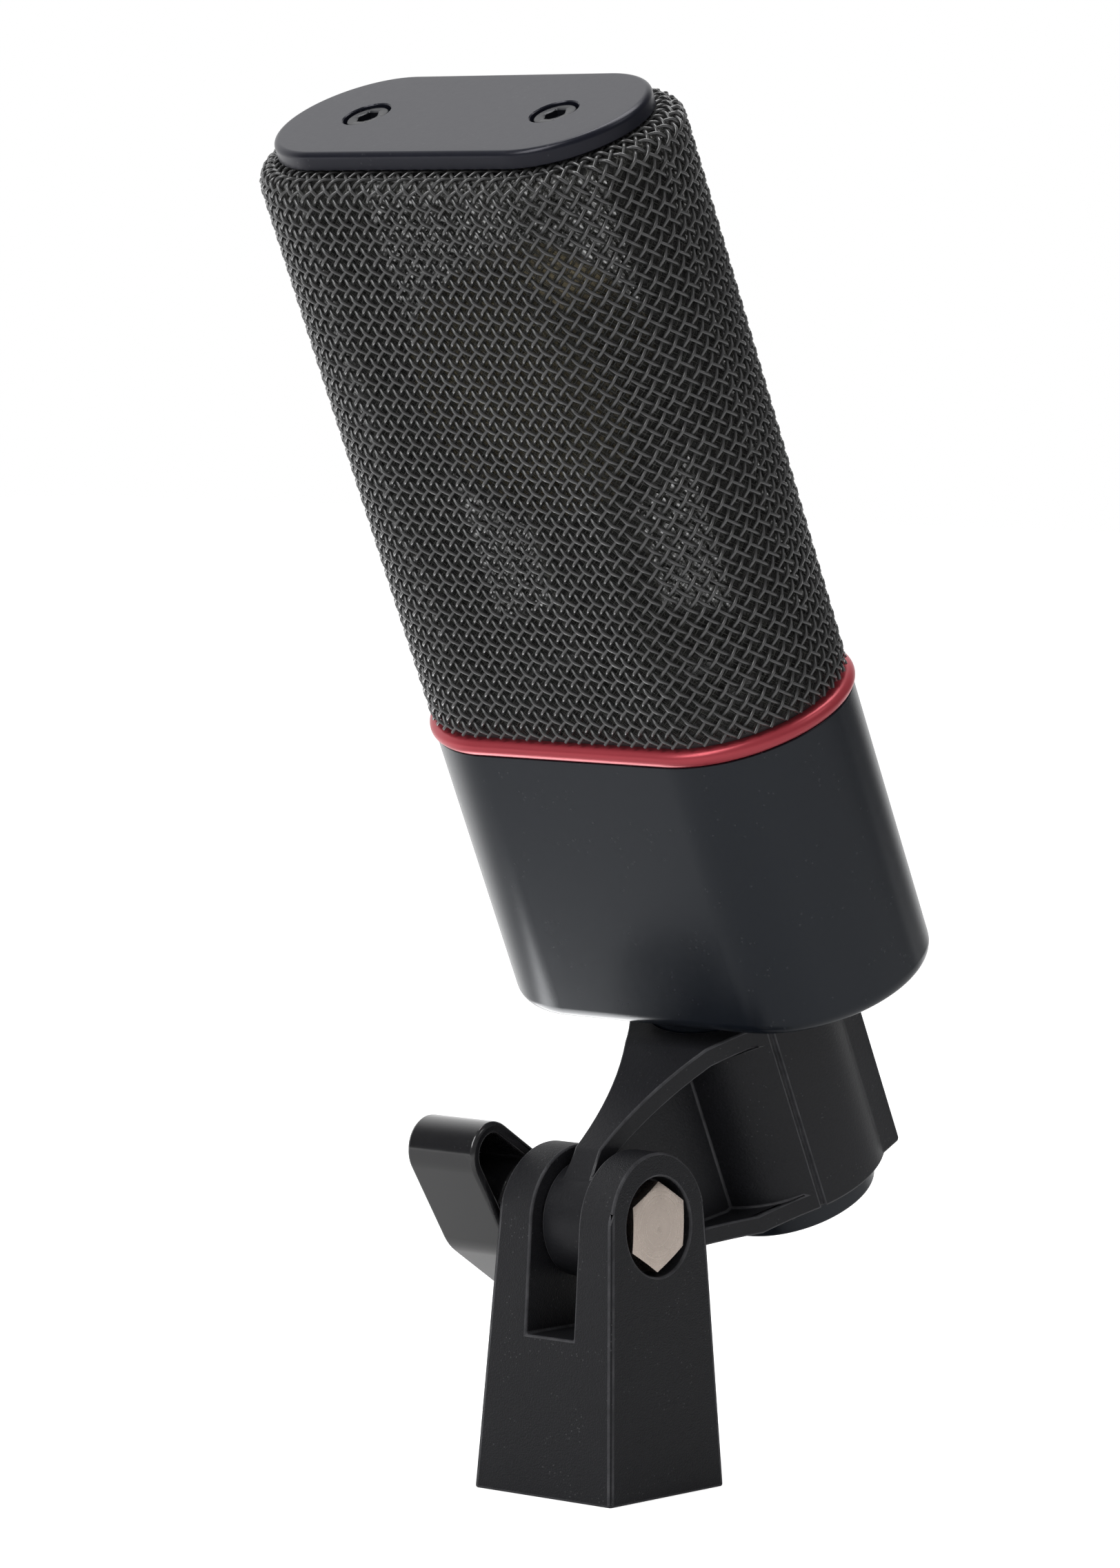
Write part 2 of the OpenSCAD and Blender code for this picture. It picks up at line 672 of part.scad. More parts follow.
module trim_ring() {
    bead = ring_h / 2;
    out = body_d / 2 + ring_proud;
    run_l = body_w - body_d;
    color([0.62, 0.05, 0.06]) on_mic() translate([0, 0, body_top]) difference() {
        union() {
            for (s = [-1, 1]) translate([s * run_l / 2, 0, 0]) rotate_extrude() {
                square([out - bead, ring_h]);
                translate([out - bead, bead]) circle(bead);
            }
            rotate([90, 0, 90]) linear_extrude(run_l, center = true) {
                translate([bead - out, 0]) square([2 * (out - bead), ring_h]);
                for (s = [-1, 1]) translate([s * (out - bead), bead]) circle(bead);
            }
        }
        translate([0, 0, -1]) stadium(body_w - 2 * ring_band, body_d - 2 * ring_band, ring_h + 2);
    }
}

module mesh_outer() {
    color([0.16, 0.16, 0.17]) on_mic() difference() {
        translate([0, 0, mesh_bottom]) stadium_cup(body_w, body_d, basket_h, shoulder_r, mesh_t, mesh_t);
        cap_screw_places() cylinder(r = cap_screw_r + 0.3, h = big, center = true);
    }
}

module mesh_inner() {
    inset = mesh_t + fit;
    color([0.12, 0.12, 0.12]) on_mic() difference() {
        translate([0, 0, mesh_bottom])
            stadium_cup(body_w - 2 * inset, body_d - 2 * inset, basket_h - inset, shoulder_r - inset, fine_t, fine_t);
        cap_screw_places() cylinder(r = cap_screw_r + 0.3, h = big, center = true);
    }
}

module cap_screw_places() {
    for (s = [-1, 1]) translate([s * cap_screw_x, 0, cap_z]) children();
}

module top_cap() {
    color([0.09, 0.11, 0.14]) on_mic() difference() {
        union() {
            translate([0, 0, cap_z]) domed_stadium(cap_w, cap_d, cap_h, cap_edge);
            // a shallow foot that stands on the mesh and leaves a dark gap around the cap
            translate([0, 0, mesh_top]) stadium(cap_w - 3, cap_d - 3, cap_z - mesh_top + eps);
        }
        cap_screw_places() {
            translate([0, 0, cap_floor]) cylinder(d = cap_recess_d, h = cap_h);
            cylinder(r = cap_screw_r + 0.1, h = big, center = true);
        }
    }
}

module cap_screws() {
    reach = cap_z + cap_floor - (frame_top - bar_h);
    color([0.07, 0.08, 0.10]) on_mic() cap_screw_places() translate([0, 0, cap_floor]) difference() {
        union() {
            cylinder(r = cap_head_r, h = cap_h - cap_floor - 0.3);
            translate([0, 0, -reach]) cylinder(r = cap_screw_r, h = reach + eps);
        }
        translate([0, 0, 0.3]) cylinder(d = 3, h = cap_h, $fn = 6);
    }
}

// ---------------------------------------------------------------- microphone inside

module grille_frame() {
    color([0.30, 0.30, 0.32]) on_mic() difference() {
        union() {
            // band that the two meshes are pressed around
            difference() {
                translate([0, 0, ring_top]) stadium(frame_w, frame_d, frame_foot + frame_h);
                translate([0, 0, ring_top - 1])
                    stadium(frame_w - 2 * band_t, frame_d - 2 * band_t, frame_foot + frame_h + 2);
            }
            for (s = [-1, 1]) {
                translate([s * strap_x - strap_t / 2, -strap_w / 2, ring_top])
                    cube([strap_t, strap_w, frame_top - ring_top]);
                // ear between the band and the strap, which takes the frame screw
                translate([s * (ear_in + ear_out) / 2 - (ear_out - ear_in) / 2, -strap_w / 2, ring_top])
                    cube([ear_out - ear_in, strap_w, ear_t]);
            }
            translate([-strap_x, -strap_w / 2, frame_top - bar_h]) cube([2 * strap_x, strap_w, bar_h]);
        }
        cap_screw_places() cylinder(r = cap_screw_r + fit, h = big, center = true);
        frame_screw_places() cylinder(r = frame_screw_r + fit, h = 3 * ear_t, center = true);
    }
}

module frame_screw_places() {
    for (s = [-1, 1]) translate([s * frame_screw_x, 0, ring_top]) children();
}

module frame_screws() {
    color([0.7, 0.7, 0.72]) on_mic() frame_screw_places()
        translate([0, 0, -ring_h - deck_t]) mirror([0, 0, 1])
        pan_screw(frame_screw_r, ring_h + deck_t + ear_t - 0.5, frame_head_r, frame_head_h);
}

module deck_plate() {
    color([0.55, 0.55, 0.56]) on_mic() difference() {
        union() {
            translate([0, 0, deck_z]) stadium(deck_w, deck_d, deck_t);
            translate([0, 0, body_top - eps]) stadium(deck_up_w, deck_up_d, ring_h + eps);
        }
        frame_screw_places() cylinder(r = frame_screw_r + fit, h = big, center = true);
        deck_screw_places() cylinder(r = deck_screw_r + fit, h = big, center = true);
        saddle_screw_places() cylinder(r = saddle_screw_r + fit, h = big, center = true);
        lead_places() cylinder(r = lead_hole_r, h = big, center = true);
    }
}

module deck_screw_places() {
    for (s = [-1, 1]) translate([s * rail_x, 0, ring_top]) children();
}

module deck_screws() {
    color([0.7, 0.7, 0.72]) on_mic() deck_screw_places() pan_screw(deck_screw_r, deck_screw_l, deck_head_r, screw_head_h);
}

// The capsule's frame: its centre, with z along the sound axis towards the front.
module on_capsule() {
    on_mic() translate([0, 0, capsule_z]) rotate([90, 0, 0]) children();
}

module capsule_ring() {
    color([0.72, 0.60, 0.36]) on_capsule() difference() {
        cylinder(r = capsule_r, h = capsule_t, center = true);
        cylinder(r = diaphragm_r + 0.6, h = capsule_t + 1, center = true);
    }
}

module backplates() {
    color([0.76, 0.65, 0.40]) on_capsule() for (s = [-1, 1]) difference() {
        translate([0, 0, s * (capsule_t - plate_t) / 2])
            cylinder(r = diaphragm_r + 0.6 - fit, h = plate_t, center = true);
        // rings of sound holes
        for (ring = [1:3]) for (i = [0:ring * 6 - 1]) rotate([0, 0, i * 60 / ring])
            translate([ring * diaphragm_r / 4, 0, 0]) cylinder(r = 0.5, h = 2 * capsule_t, center = true, $fn = 16);
        cylinder(r = 0.8, h = 2 * capsule_t, center = true, $fn = 16);
    }
}

module diaphragm(s) {
    color([0.85, 0.72, 0.42]) on_capsule() translate([0, 0, s * (capsule_t + film_t) / 2])
        cylinder(r = film_r, h = film_t, center = true);
}

module diaphragm_front() { diaphragm(1); }

module diaphragm_rear() { diaphragm(-1); }

module capsule_screw_places() {
    for (s = [0, 180]) rotate([s, 0, 0]) for (i = [0:capsule_screw_count - 1])
        rotate([0, 0, (i + 0.5) * 360 / capsule_screw_count])
            translate([(film_r + clamp_r) / 2, 0, capsule_t / 2 + film_t]) children();
}

module clamp_rings() {
    color([0.74, 0.62, 0.38]) on_capsule() difference() {
        for (s = [-1, 1]) translate([0, 0, s * (capsule_t / 2 + film_t + clamp_t / 2)])
            cylinder(r = clamp_r, h = clamp_t, center = true);
        cylinder(r = diaphragm_r, h = big, center = true);
        capsule_screw_places() cylinder(r = capsule_screw_r, h = 2 * clamp_t, center = true, $fn = 16);
    }
}

module capsule_screws() {
    color([0.78, 0.68, 0.45]) on_capsule() capsule_screw_places() translate([0, 0, clamp_t])
        pan_screw(capsule_screw_r - fit, clamp_t - fit, 1.1, 0.6);
}

module capsule_saddle() {
    foot_z = ring_top;
    color([0.10, 0.10, 0.10]) {
        on_capsule() difference() {
            cylinder(r = saddle_in + saddle_t, h = capsule_t, center = true);
            cylinder(r = saddle_in, h = capsule_t + 1, center = true);
            translate([-big, capsule_r * 0.1, -big]) cube(2 * big);
        }
        on_mic() difference() {
            union() {
                translate([-stem_w / 2, -capsule_t / 2, foot_z + saddle_foot_h - eps])
                    cube([stem_w, capsule_t, capsule_z - saddle_in - 0.5 - foot_z - saddle_foot_h]);
                translate([-saddle_foot_w / 2, -saddle_foot_d / 2, foot_z])
                    cube([saddle_foot_w, saddle_foot_d, saddle_foot_h]);
            }
            saddle_screw_places() cylinder(r = saddle_screw_r + fit, h = big, center = true);
            lead_places() cylinder(r = lead_hole_r, h = big, center = true);
            translate([0, 0, capsule_z]) rotate([90, 0, 0]) cylinder(r = saddle_in, h = big, center = true);
        }
    }
}

module saddle_screw_places() {
    for (s = [-1, 1]) translate([s * saddle_screw_x, 0, ring_top + saddle_foot_h]) children();
}

module saddle_screws() {
    color([0.7, 0.7, 0.72]) on_mic() saddle_screw_places()
        pan_screw(saddle_screw_r, saddle_foot_h + ring_h + saddle_grip, saddle_head_r, screw_head_h);
}

// Where the two capsule leads pass through the saddle's foot and the deck.
module lead_places() {
    for (s = [-1, 1]) translate([s * lead_x, s * lead_y, ring_top]) children();
}

module capsule_leads() {
    // each lead is soldered to a clamp ring near its lower edge and ends on the board's front
    ring_face = capsule_t / 2 + film_t + clamp_t;
    top = capsule_z - sqrt(pow((diaphragm_r + clamp_r) / 2, 2) - pow(lead_x, 2));
    low = board_z + board_h - 2.5;
    color([0.80, 0.78, 0.70]) on_mic() for (s = [-1, 1])
        wire([[s * lead_x, s * ring_face, top], [s * lead_x, s * (ring_face + 1), top],
            [s * lead_x, s * (ring_face + 1), ring_top + 14], [s * lead_x, s * lead_y, ring_top + 6],
            [s * lead_x, s * lead_y, deck_z - 0.6], [s * lead_x, board_y - 1.2, low],
            [s * lead_x, board_y, low]], lead_r);
}

module base_plate() {
    color([0.55, 0.55, 0.56]) on_mic() difference() {
        translate([0, 0, base_z]) stadium(body_in_w - 2 * base_inset, body_in_d - 2 * base_inset, base_t);
        translate([0, 0, base_z - 1]) cylinder(r = barrel_r + fit, h = base_t + 2);
        rail_screw_places() cylinder(r = base_screw_r, h = big, center = true, $fn = 24);
        base_screw_holes();
    }
}

module rail_screw_places() {
    for (s = [-1, 1]) translate([s * rail_x, 0, base_z]) children();
}

module base_screws() {
    color([0.7, 0.7, 0.72]) on_mic() {
        for (s = [-1, 1]) translate([s * base_screw_x, 0, base_top + collar_t])
            pan_screw(base_screw_r - fit, collar_t + base_t - 0.4, base_head_r, base_head_h);
    }
}

module chassis_rails() {
    color([0.60, 0.60, 0.62]) on_mic() for (s = [-1, 1]) difference() {
        translate([s * rail_x - rail_w / 2, -rail_d / 2, base_top]) cube([rail_w, rail_d, deck_z - base_top]);
        deck_screw_places() cylinder(r = deck_screw_r + fit, h = 2 * deck_screw_l + 1, center = true);
        board_screw_places() rotate([90, 0, 0])
            cylinder(r = board_screw_r + fit, h = 2 * rail_d, center = true, $fn = 24);
        // the foot stays clear of the barrel's collar and its screws
        translate([0, 0, base_top - 1])
            stadium(collar_w + 0.6, collar_d + 0.6, 1 + collar_t + base_head_h + 0.3);
    }
}

module circuit_board() {
    color([0.10, 0.30, 0.16]) on_mic() difference() {
        translate([-board_half, board_y, board_z]) cube([2 * board_half, board_t, board_h]);
        board_screw_places() rotate([90, 0, 0])
            cylinder(r = board_screw_r + fit, h = 2 * rail_d, center = true, $fn = 24);
    }
}

module board_screw_places() {
    for (s = [-1, 1]) for (z = [board_z + board_screw_in, board_z + board_h - board_screw_in])
        translate([s * rail_x, board_y + board_t, z]) children();
}

module board_screws() {
    color([0.7, 0.7, 0.72]) on_mic() board_screw_places() rotate([-90, 0, 0])
        pan_screw(board_screw_r, board_t + board_grip, board_head_r, board_head_h);
}

module transformer() {
    color([0.20, 0.20, 0.24]) on_mic() {
        translate([-(bobbin_w + core_w) / 2, board_y - core_d, board_z + core_z]) cube([core_w, core_d, core_h]);
        translate([-bobbin_w, board_y - (core_d + bobbin_d) / 2, board_z + bobbin_z])
            cube([bobbin_w, bobbin_d, bobbin_h]);
    }
}

module capacitors() {
    color([0.75, 0.30, 0.12]) on_mic() {
        for (x = [cap_left, cap_right]) translate([x, board_y, board_z + small_cap_z]) rotate([90, 0, 0])
            cylinder(d = small_cap_d, h = small_cap_l);
        translate([(cap_left + cap_right) / 2, board_y, board_z + big_cap_z]) rotate([90, 0, 0])
            cylinder(d = big_cap_d, h = big_cap_l);
        for (x = [box_left, box_right]) translate([x, board_y - box_cap_d, board_z + box_cap_z])
            cube([box_cap_w, box_cap_d, box_cap_h]);
    }
}

module switch_housings() {
    color([0.16, 0.16, 0.17]) on_mic() for (s = [-1, 1]) difference() {
        translate([s * switch_gap / 2 - housing_w / 2, housing_y, switch_m - housing_h / 2])
            cube([housing_w, housing_d, housing_h]);
        translate([s * switch_gap / 2 - window_w / 2, slider_y - 2, switch_m - slider_s / 2 - run])
            cube([window_w, 2 + eps, slider_s + 2 * run]);
    }
}

// A switch slider at the left end of its travel.
module slider(s) {
    color([0.80, 0.80, 0.78]) on_mic()
        translate([s * switch_gap / 2 - switch_travel / 2 - slider_s / 2, slider_y - 2 + run, switch_m - slider_s / 2])
        cube([slider_s, body_d / 2 - slider_y + 2 - run - 0.3, slider_s]);
}

module low_cut_slider() { slider(-1); }

module pad_slider() { slider(1); }

module output_wires() {
    cup_top = insulator_z + insulator_t + cup_l;
    y = board_y - 1.4;
    color([0.55, 0.10, 0.10]) on_mic() for (i = [0:2]) {
        x = pin_circle / 2 * cos(-90 + i * 120);
        pin_y = pin_circle / 2 * sin(-90 + i * 120);
        wire([[x, pin_y, cup_top], [x, pin_y, cup_top + 4], [x, y, base_top + 2.3], [x, y, board_z + 1.8],
            [x, board_y, board_z + 1.8]], wire_r);
    }
}

post();
thread_adapter();
hinge_bolt();
clamp_washer();
wing_knob();
knob_nut();
clip();
body_shell();
connector_barrel();
connector_insulator();
connector_pins();
barrel_screw();
trim_ring();
mesh_outer();
mesh_inner();
top_cap();
cap_screws();
grille_frame();
frame_screws();
deck_plate();
deck_screws();
capsule_ring();
backplates();
diaphragm_front();
diaphragm_rear();
clamp_rings();
capsule_screws();
capsule_saddle();
saddle_screws();
capsule_leads();
base_plate();
base_screws();
chassis_rails();
circuit_board();
board_screws();
transformer();
capacitors();
switch_housings();
low_cut_slider();
pad_slider();
output_wires();
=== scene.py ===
"""Dresses the condenser microphone and its tilting stand clip for their picture.

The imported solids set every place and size. This script builds the finer pieces over them,
such as the woven basket, the lofted body and the rounded mouldings, gives every piece and
every solid that still shows its own finish, and sets up the studio and the camera.
"""

from __future__ import annotations

import logging
import math
from collections.abc import Callable, Iterable, Sequence
from dataclasses import dataclass, field
from enum import Enum

import bmesh
import bpy
import numpy as np
from mathutils import Matrix, Vector
from mathutils.bvhtree import BVHTree

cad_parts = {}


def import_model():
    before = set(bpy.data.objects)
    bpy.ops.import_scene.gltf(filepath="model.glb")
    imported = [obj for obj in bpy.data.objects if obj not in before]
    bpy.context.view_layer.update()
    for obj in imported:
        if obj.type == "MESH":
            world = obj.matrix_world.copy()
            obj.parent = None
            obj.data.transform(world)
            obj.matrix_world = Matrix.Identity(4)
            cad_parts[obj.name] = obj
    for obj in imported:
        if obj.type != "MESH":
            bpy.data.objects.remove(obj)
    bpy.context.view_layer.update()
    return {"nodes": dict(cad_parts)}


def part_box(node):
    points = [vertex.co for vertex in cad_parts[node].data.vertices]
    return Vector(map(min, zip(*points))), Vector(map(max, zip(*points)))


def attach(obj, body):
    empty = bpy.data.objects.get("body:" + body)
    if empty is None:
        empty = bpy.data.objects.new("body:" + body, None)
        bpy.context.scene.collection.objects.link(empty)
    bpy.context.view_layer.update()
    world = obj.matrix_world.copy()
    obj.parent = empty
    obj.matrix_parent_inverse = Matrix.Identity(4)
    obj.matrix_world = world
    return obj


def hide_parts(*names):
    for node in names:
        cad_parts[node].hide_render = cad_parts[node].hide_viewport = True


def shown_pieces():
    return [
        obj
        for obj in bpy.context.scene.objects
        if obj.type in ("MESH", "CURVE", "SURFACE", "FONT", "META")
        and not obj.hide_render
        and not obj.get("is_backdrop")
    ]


LOG = logging.getLogger("microphone")
MM = 0.001
Colour = tuple[float, float, float]
Ring = list[Vector]


# ---------------------------------------------------------------- frames and shared shapes


class Body(Enum):
    """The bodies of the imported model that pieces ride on."""

    STAND = "stand"
    CLAMP = "clamp"
    KNOB = "knob"
    CLIP = "clip"
    LOW_CUT = "low_cut"
    PAD = "pad"
    MICROPHONE = "microphone"


class Lean(Enum):
    """The two families of wires in the weave, by the way they lean as they climb."""

    RIGHT = 1.0
    LEFT = -1.0


@dataclass(frozen=True)
class MicFrame:
    """Where the microphone stands: its axis is +Z and its centre line is the origin."""

    tilt: float = math.radians(26.2)
    hinge_z: float = 34.2 * MM
    axis_off: float = 35.0 * MM

    def matrix(self) -> Matrix:
        """Gives the matrix from the microphone's frame to the row's frame.

        Returns:
            The matrix.
        """
        hinge = Matrix.Translation((0.0, 0.0, self.hinge_z))
        axis = Matrix.Translation((0.0, self.axis_off, 0.0))
        return hinge @ Matrix.Rotation(self.tilt, 4, "X") @ axis


@dataclass(frozen=True)
class Outline:
    """A stadium seen along the microphone's axis, as points for rings that loft together."""

    width: float
    depth: float
    arc_steps: int = 56
    run_steps: int = 10

    def ring(self, inset: float, height: float) -> Ring:
        """Makes one ring of the stadium.

        Args:
            inset: How far the ring lies inside the outline.
            height: The ring's height along the axis.

        Returns:
            The ring's points, the same number for every inset.
        """
        run = (self.width - self.depth) / 2
        radius = self.depth / 2 - inset
        points: Ring = []
        for side in (1.0, -1.0):
            for step in range(self.arc_steps):
                turn = math.pi * (step / self.arc_steps - 0.5)
                across = run + radius * math.cos(turn)
                points.append(Vector((side * across, side * radius * math.sin(turn), height)))
            for step in range(self.run_steps):
                along = run * (1 - 2 * step / self.run_steps)
                points.append(Vector((side * along, side * radius, height)))
        return points

    def round_ring(self, radius: float, height: float) -> Ring:
        """Makes a circle whose points face those of the stadium's rings.

        Args:
            radius: The circle's radius.
            height: The ring's height along the axis.

        Returns:
            As many points as a stadium ring has.
        """
        points: Ring = []
        for point in self.ring(0.0, height):
            turn = math.atan2(point.y, point.x)
            points.append(Vector((radius * math.cos(turn), radius * math.sin(turn), height)))
        return points


def arc_profile(
    centre: tuple[float, float], radius: float, start: float, end: float, steps: int
) -> list[tuple[float, float]]:
    """Gives the points of an arc in a profile.

    Args:
        centre: The arc's centre.
        radius: The arc's radius.
        start: The first angle, in degrees.
        end: The last angle, in degrees.
        steps: The number of steps between them.

    Returns:
        The points, ends included.
    """
    turns = [math.radians(start + (end - start) * i / steps) for i in range(steps + 1)]
    return [(centre[0] + radius * math.cos(t), centre[1] + radius * math.sin(t)) for t in turns]


def loft(rings: Sequence[Ring], closed: bool) -> bmesh.types.BMesh:
    """Joins rings of points with quads.

    Args:
        rings: The rings in order, all with the same number of points.
        closed: Whether the last ring joins the first, as in a tube's wall. Otherwise the
            first and last rings are filled.

    Returns:
        A new bmesh with its faces pointing outwards.
    """
    shape = bmesh.new()
    rows = [[shape.verts.new(point) for point in ring] for ring in rings]
    pairs = list(zip(rows, rows[1:] + rows[:1])) if closed else list(zip(rows, rows[1:]))
    for low, high in pairs:
        for i in range(len(low)):
            j = (i + 1) % len(low)
            shape.faces.new((low[i], low[j], high[j], high[i]))
    if not closed:
        shape.faces.new(list(reversed(rows[0])))
        shape.faces.new(rows[-1])
    bmesh.ops.recalc_face_normals(shape, faces=shape.faces)
    return shape


def polar_ring(radius: Callable[[float], float], height: float, count: int) -> Ring:
    """Makes a ring about the Z axis.

    Args:
        radius: The radius at each angle.
        height: The ring's height.
        count: The number of points.

    Returns:
        The ring's points.
    """
    turns = [2 * math.pi * i / count for i in range(count)]
    return [Vector((radius(t) * math.cos(t), radius(t) * math.sin(t), height)) for t in turns]


def hexagon(flats: float) -> Callable[[float], float]:
    """Returns the radius of a hexagon with a corner at angle 0, given its size across the flats."""
    sixth = math.pi / 3
    return lambda turn: flats / 2 / math.cos(turn % sixth - sixth / 2)


def turned_rings(profile: Iterable[tuple[float, float]], count: int) -> list[Ring]:
    """Turns a profile about the Z axis.

    Args:
        profile: The radius and height of each ring.
        count: The number of points in a ring.

    Returns:
        One round ring for each of the profile's points.
    """
    return [polar_ring(lambda turn, r=radius: r, height, count) for radius, height in profile]


def object_from(shape: bmesh.types.BMesh, name: str, place: Matrix) -> bpy.types.Object:
    """Turns a bmesh into an object at the origin, with its place in its mesh.

    Args:
        shape: The bmesh, which is freed.
        name: The new piece's name.
        place: The matrix from the shape's frame to the row's frame.

    Returns:
        The new object, smooth shaded.
    """
    bmesh.ops.transform(shape, matrix=place, verts=shape.verts)
    mesh = bpy.data.meshes.new(name)
    shape.to_mesh(mesh)
    shape.free()
    piece = bpy.data.objects.new(name, mesh)
    bpy.context.scene.collection.objects.link(piece)
    mesh.shade_smooth()
    return piece


def baked(piece: bpy.types.Object, name: str | None = None) -> bpy.types.Object:
    """Applies all modifiers of a piece through its evaluated mesh.

    Args:
        piece: The piece, whose modifiers are removed.
        name: A new name, or None to keep the old one.

    Returns:
        The same object with a plain mesh.
    """
    bpy.context.view_layer.update()
    solved = piece.evaluated_get(bpy.context.evaluated_depsgraph_get())
    mesh = bpy.data.meshes.new_from_object(solved)
    piece.modifiers.clear()
    piece.data = mesh
    if name:
        piece.name = name
    mesh.name = piece.name
    return piece


def even_normals(piece: bpy.types.Object, sharp: float = 50.0) -> bpy.types.Object:
    """Shades a piece smooth with its flat faces flat.

    Args:
        piece: The piece to shade.
        sharp: The angle in degrees above which an edge stays crisp.

    Returns:
        The same piece with a plain mesh.
    """
    piece.data.shade_smooth()
    piece.data.set_sharp_from_angle(angle=math.radians(sharp))
    weighted = piece.modifiers.new("even", "WEIGHTED_NORMAL")
    weighted.keep_sharp = True
    weighted.weight = 60
    return baked(piece)


def rounded_copy(
    node: bpy.types.Object, name: str, width: float, steps: int = 3, least: float = 28.0
) -> bpy.types.Object:
    """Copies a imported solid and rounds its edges, as moulding or tumbling does.

    The corners of the rounded edges' faces carry 1 in the attribute "edge", which finishes read.

    Args:
        node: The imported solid, which is left alone.
        name: The new piece's name.
        width: The width of the rounding on each side of an edge.
        steps: The number of facets across a rounded edge.
        least: The smallest angle in degrees between two faces that is rounded.

    Returns:
        The new piece.
    """
    shape = bmesh.new()
    shape.from_mesh(node.data)
    bmesh.ops.remove_doubles(shape, verts=shape.verts, dist=0.002 * MM)
    bmesh.ops.dissolve_limit(
        shape, angle_limit=math.radians(0.4), verts=shape.verts, edges=shape.edges,
        use_dissolve_boundaries=False,
    )
    mark = shape.loops.layers.float.new("edge")
    angle = math.radians(least)
    crisp = [e for e in shape.edges if len(e.link_faces) == 2 and e.calc_face_angle() > angle]
    made = bmesh.ops.bevel(
        shape, geom=crisp, offset=width, offset_type="OFFSET", segments=steps, profile=0.5,
        affect="EDGES", clamp_overlap=False,
    )
    for face in made["faces"]:
        for corner in face.loops:
            corner[mark] = 1.0
    bmesh.ops.recalc_face_normals(shape, faces=shape.faces)
    return even_normals(object_from(shape, name, Matrix.Identity(4)))


def cut(piece: bpy.types.Object, cutters: Iterable[bpy.types.Object]) -> bpy.types.Object:
    """Cuts other shapes out of a piece.

    Args:
        piece: The piece to cut.
        cutters: The shapes to take away, which are deleted.

    Returns:
        The cut piece with a plain mesh.
    """
    tools = list(cutters)
    for tool in tools:
        saw = piece.modifiers.new("cut", "BOOLEAN")
        saw.operation, saw.solver, saw.object = "DIFFERENCE", "EXACT", tool
    baked(piece)
    for tool in tools:
        bpy.data.objects.remove(tool)
    return piece


def join(pieces: Sequence[bpy.types.Object], name: str) -> bpy.types.Object:
    """Joins several plain pieces into one.

    Args:
        pieces: The pieces, all at the origin. All but the first are deleted.
        name: The joined piece's name.

    Returns:
        The joined piece.
    """
    shape = bmesh.new()
    for piece in pieces:
        shape.from_mesh(piece.data)
    mesh = bpy.data.meshes.new(name)
    shape.to_mesh(mesh)
    shape.free()
    for piece in pieces[1:]:
        bpy.data.objects.remove(piece)
    pieces[0].data, pieces[0].name = mesh, name
    mesh.shade_smooth()
    return pieces[0]


# ---------------------------------------------------------------- node trees


def plug(tree: bpy.types.NodeTree, value: object, slot: bpy.types.NodeSocket) -> None:
    """Links a value to an input, or sets the input to it.

    Args:
        tree: The tree that holds both.
        value: A socket, a field or a constant.
        slot: The input.
    """
    if isinstance(value, Field):
        value = value.socket
    if isinstance(value, bpy.types.NodeSocket):
        tree.links.new(value, slot)
    else:
        slot.default_value = value


def wired(tree: bpy.types.NodeTree, kind: str, *feeds: object, **settings: object) -> bpy.types.Node:
    """Adds a node, sets its own settings and feeds its inputs in order.

    Args:
        tree: The tree that gets the node.
        kind: The node's type name.
        *feeds: A socket, a field or a constant for each input, with None to skip one.
        **settings: Values of the node's properties, such as its operation.

    Returns:
        The new node.
    """
    node = tree.nodes.new(kind)
    for name, value in settings.items():
        setattr(node, name, value)
    for slot, feed in zip(node.inputs, feeds):
        if feed is not None:
            plug(tree, feed, slot)
    return node


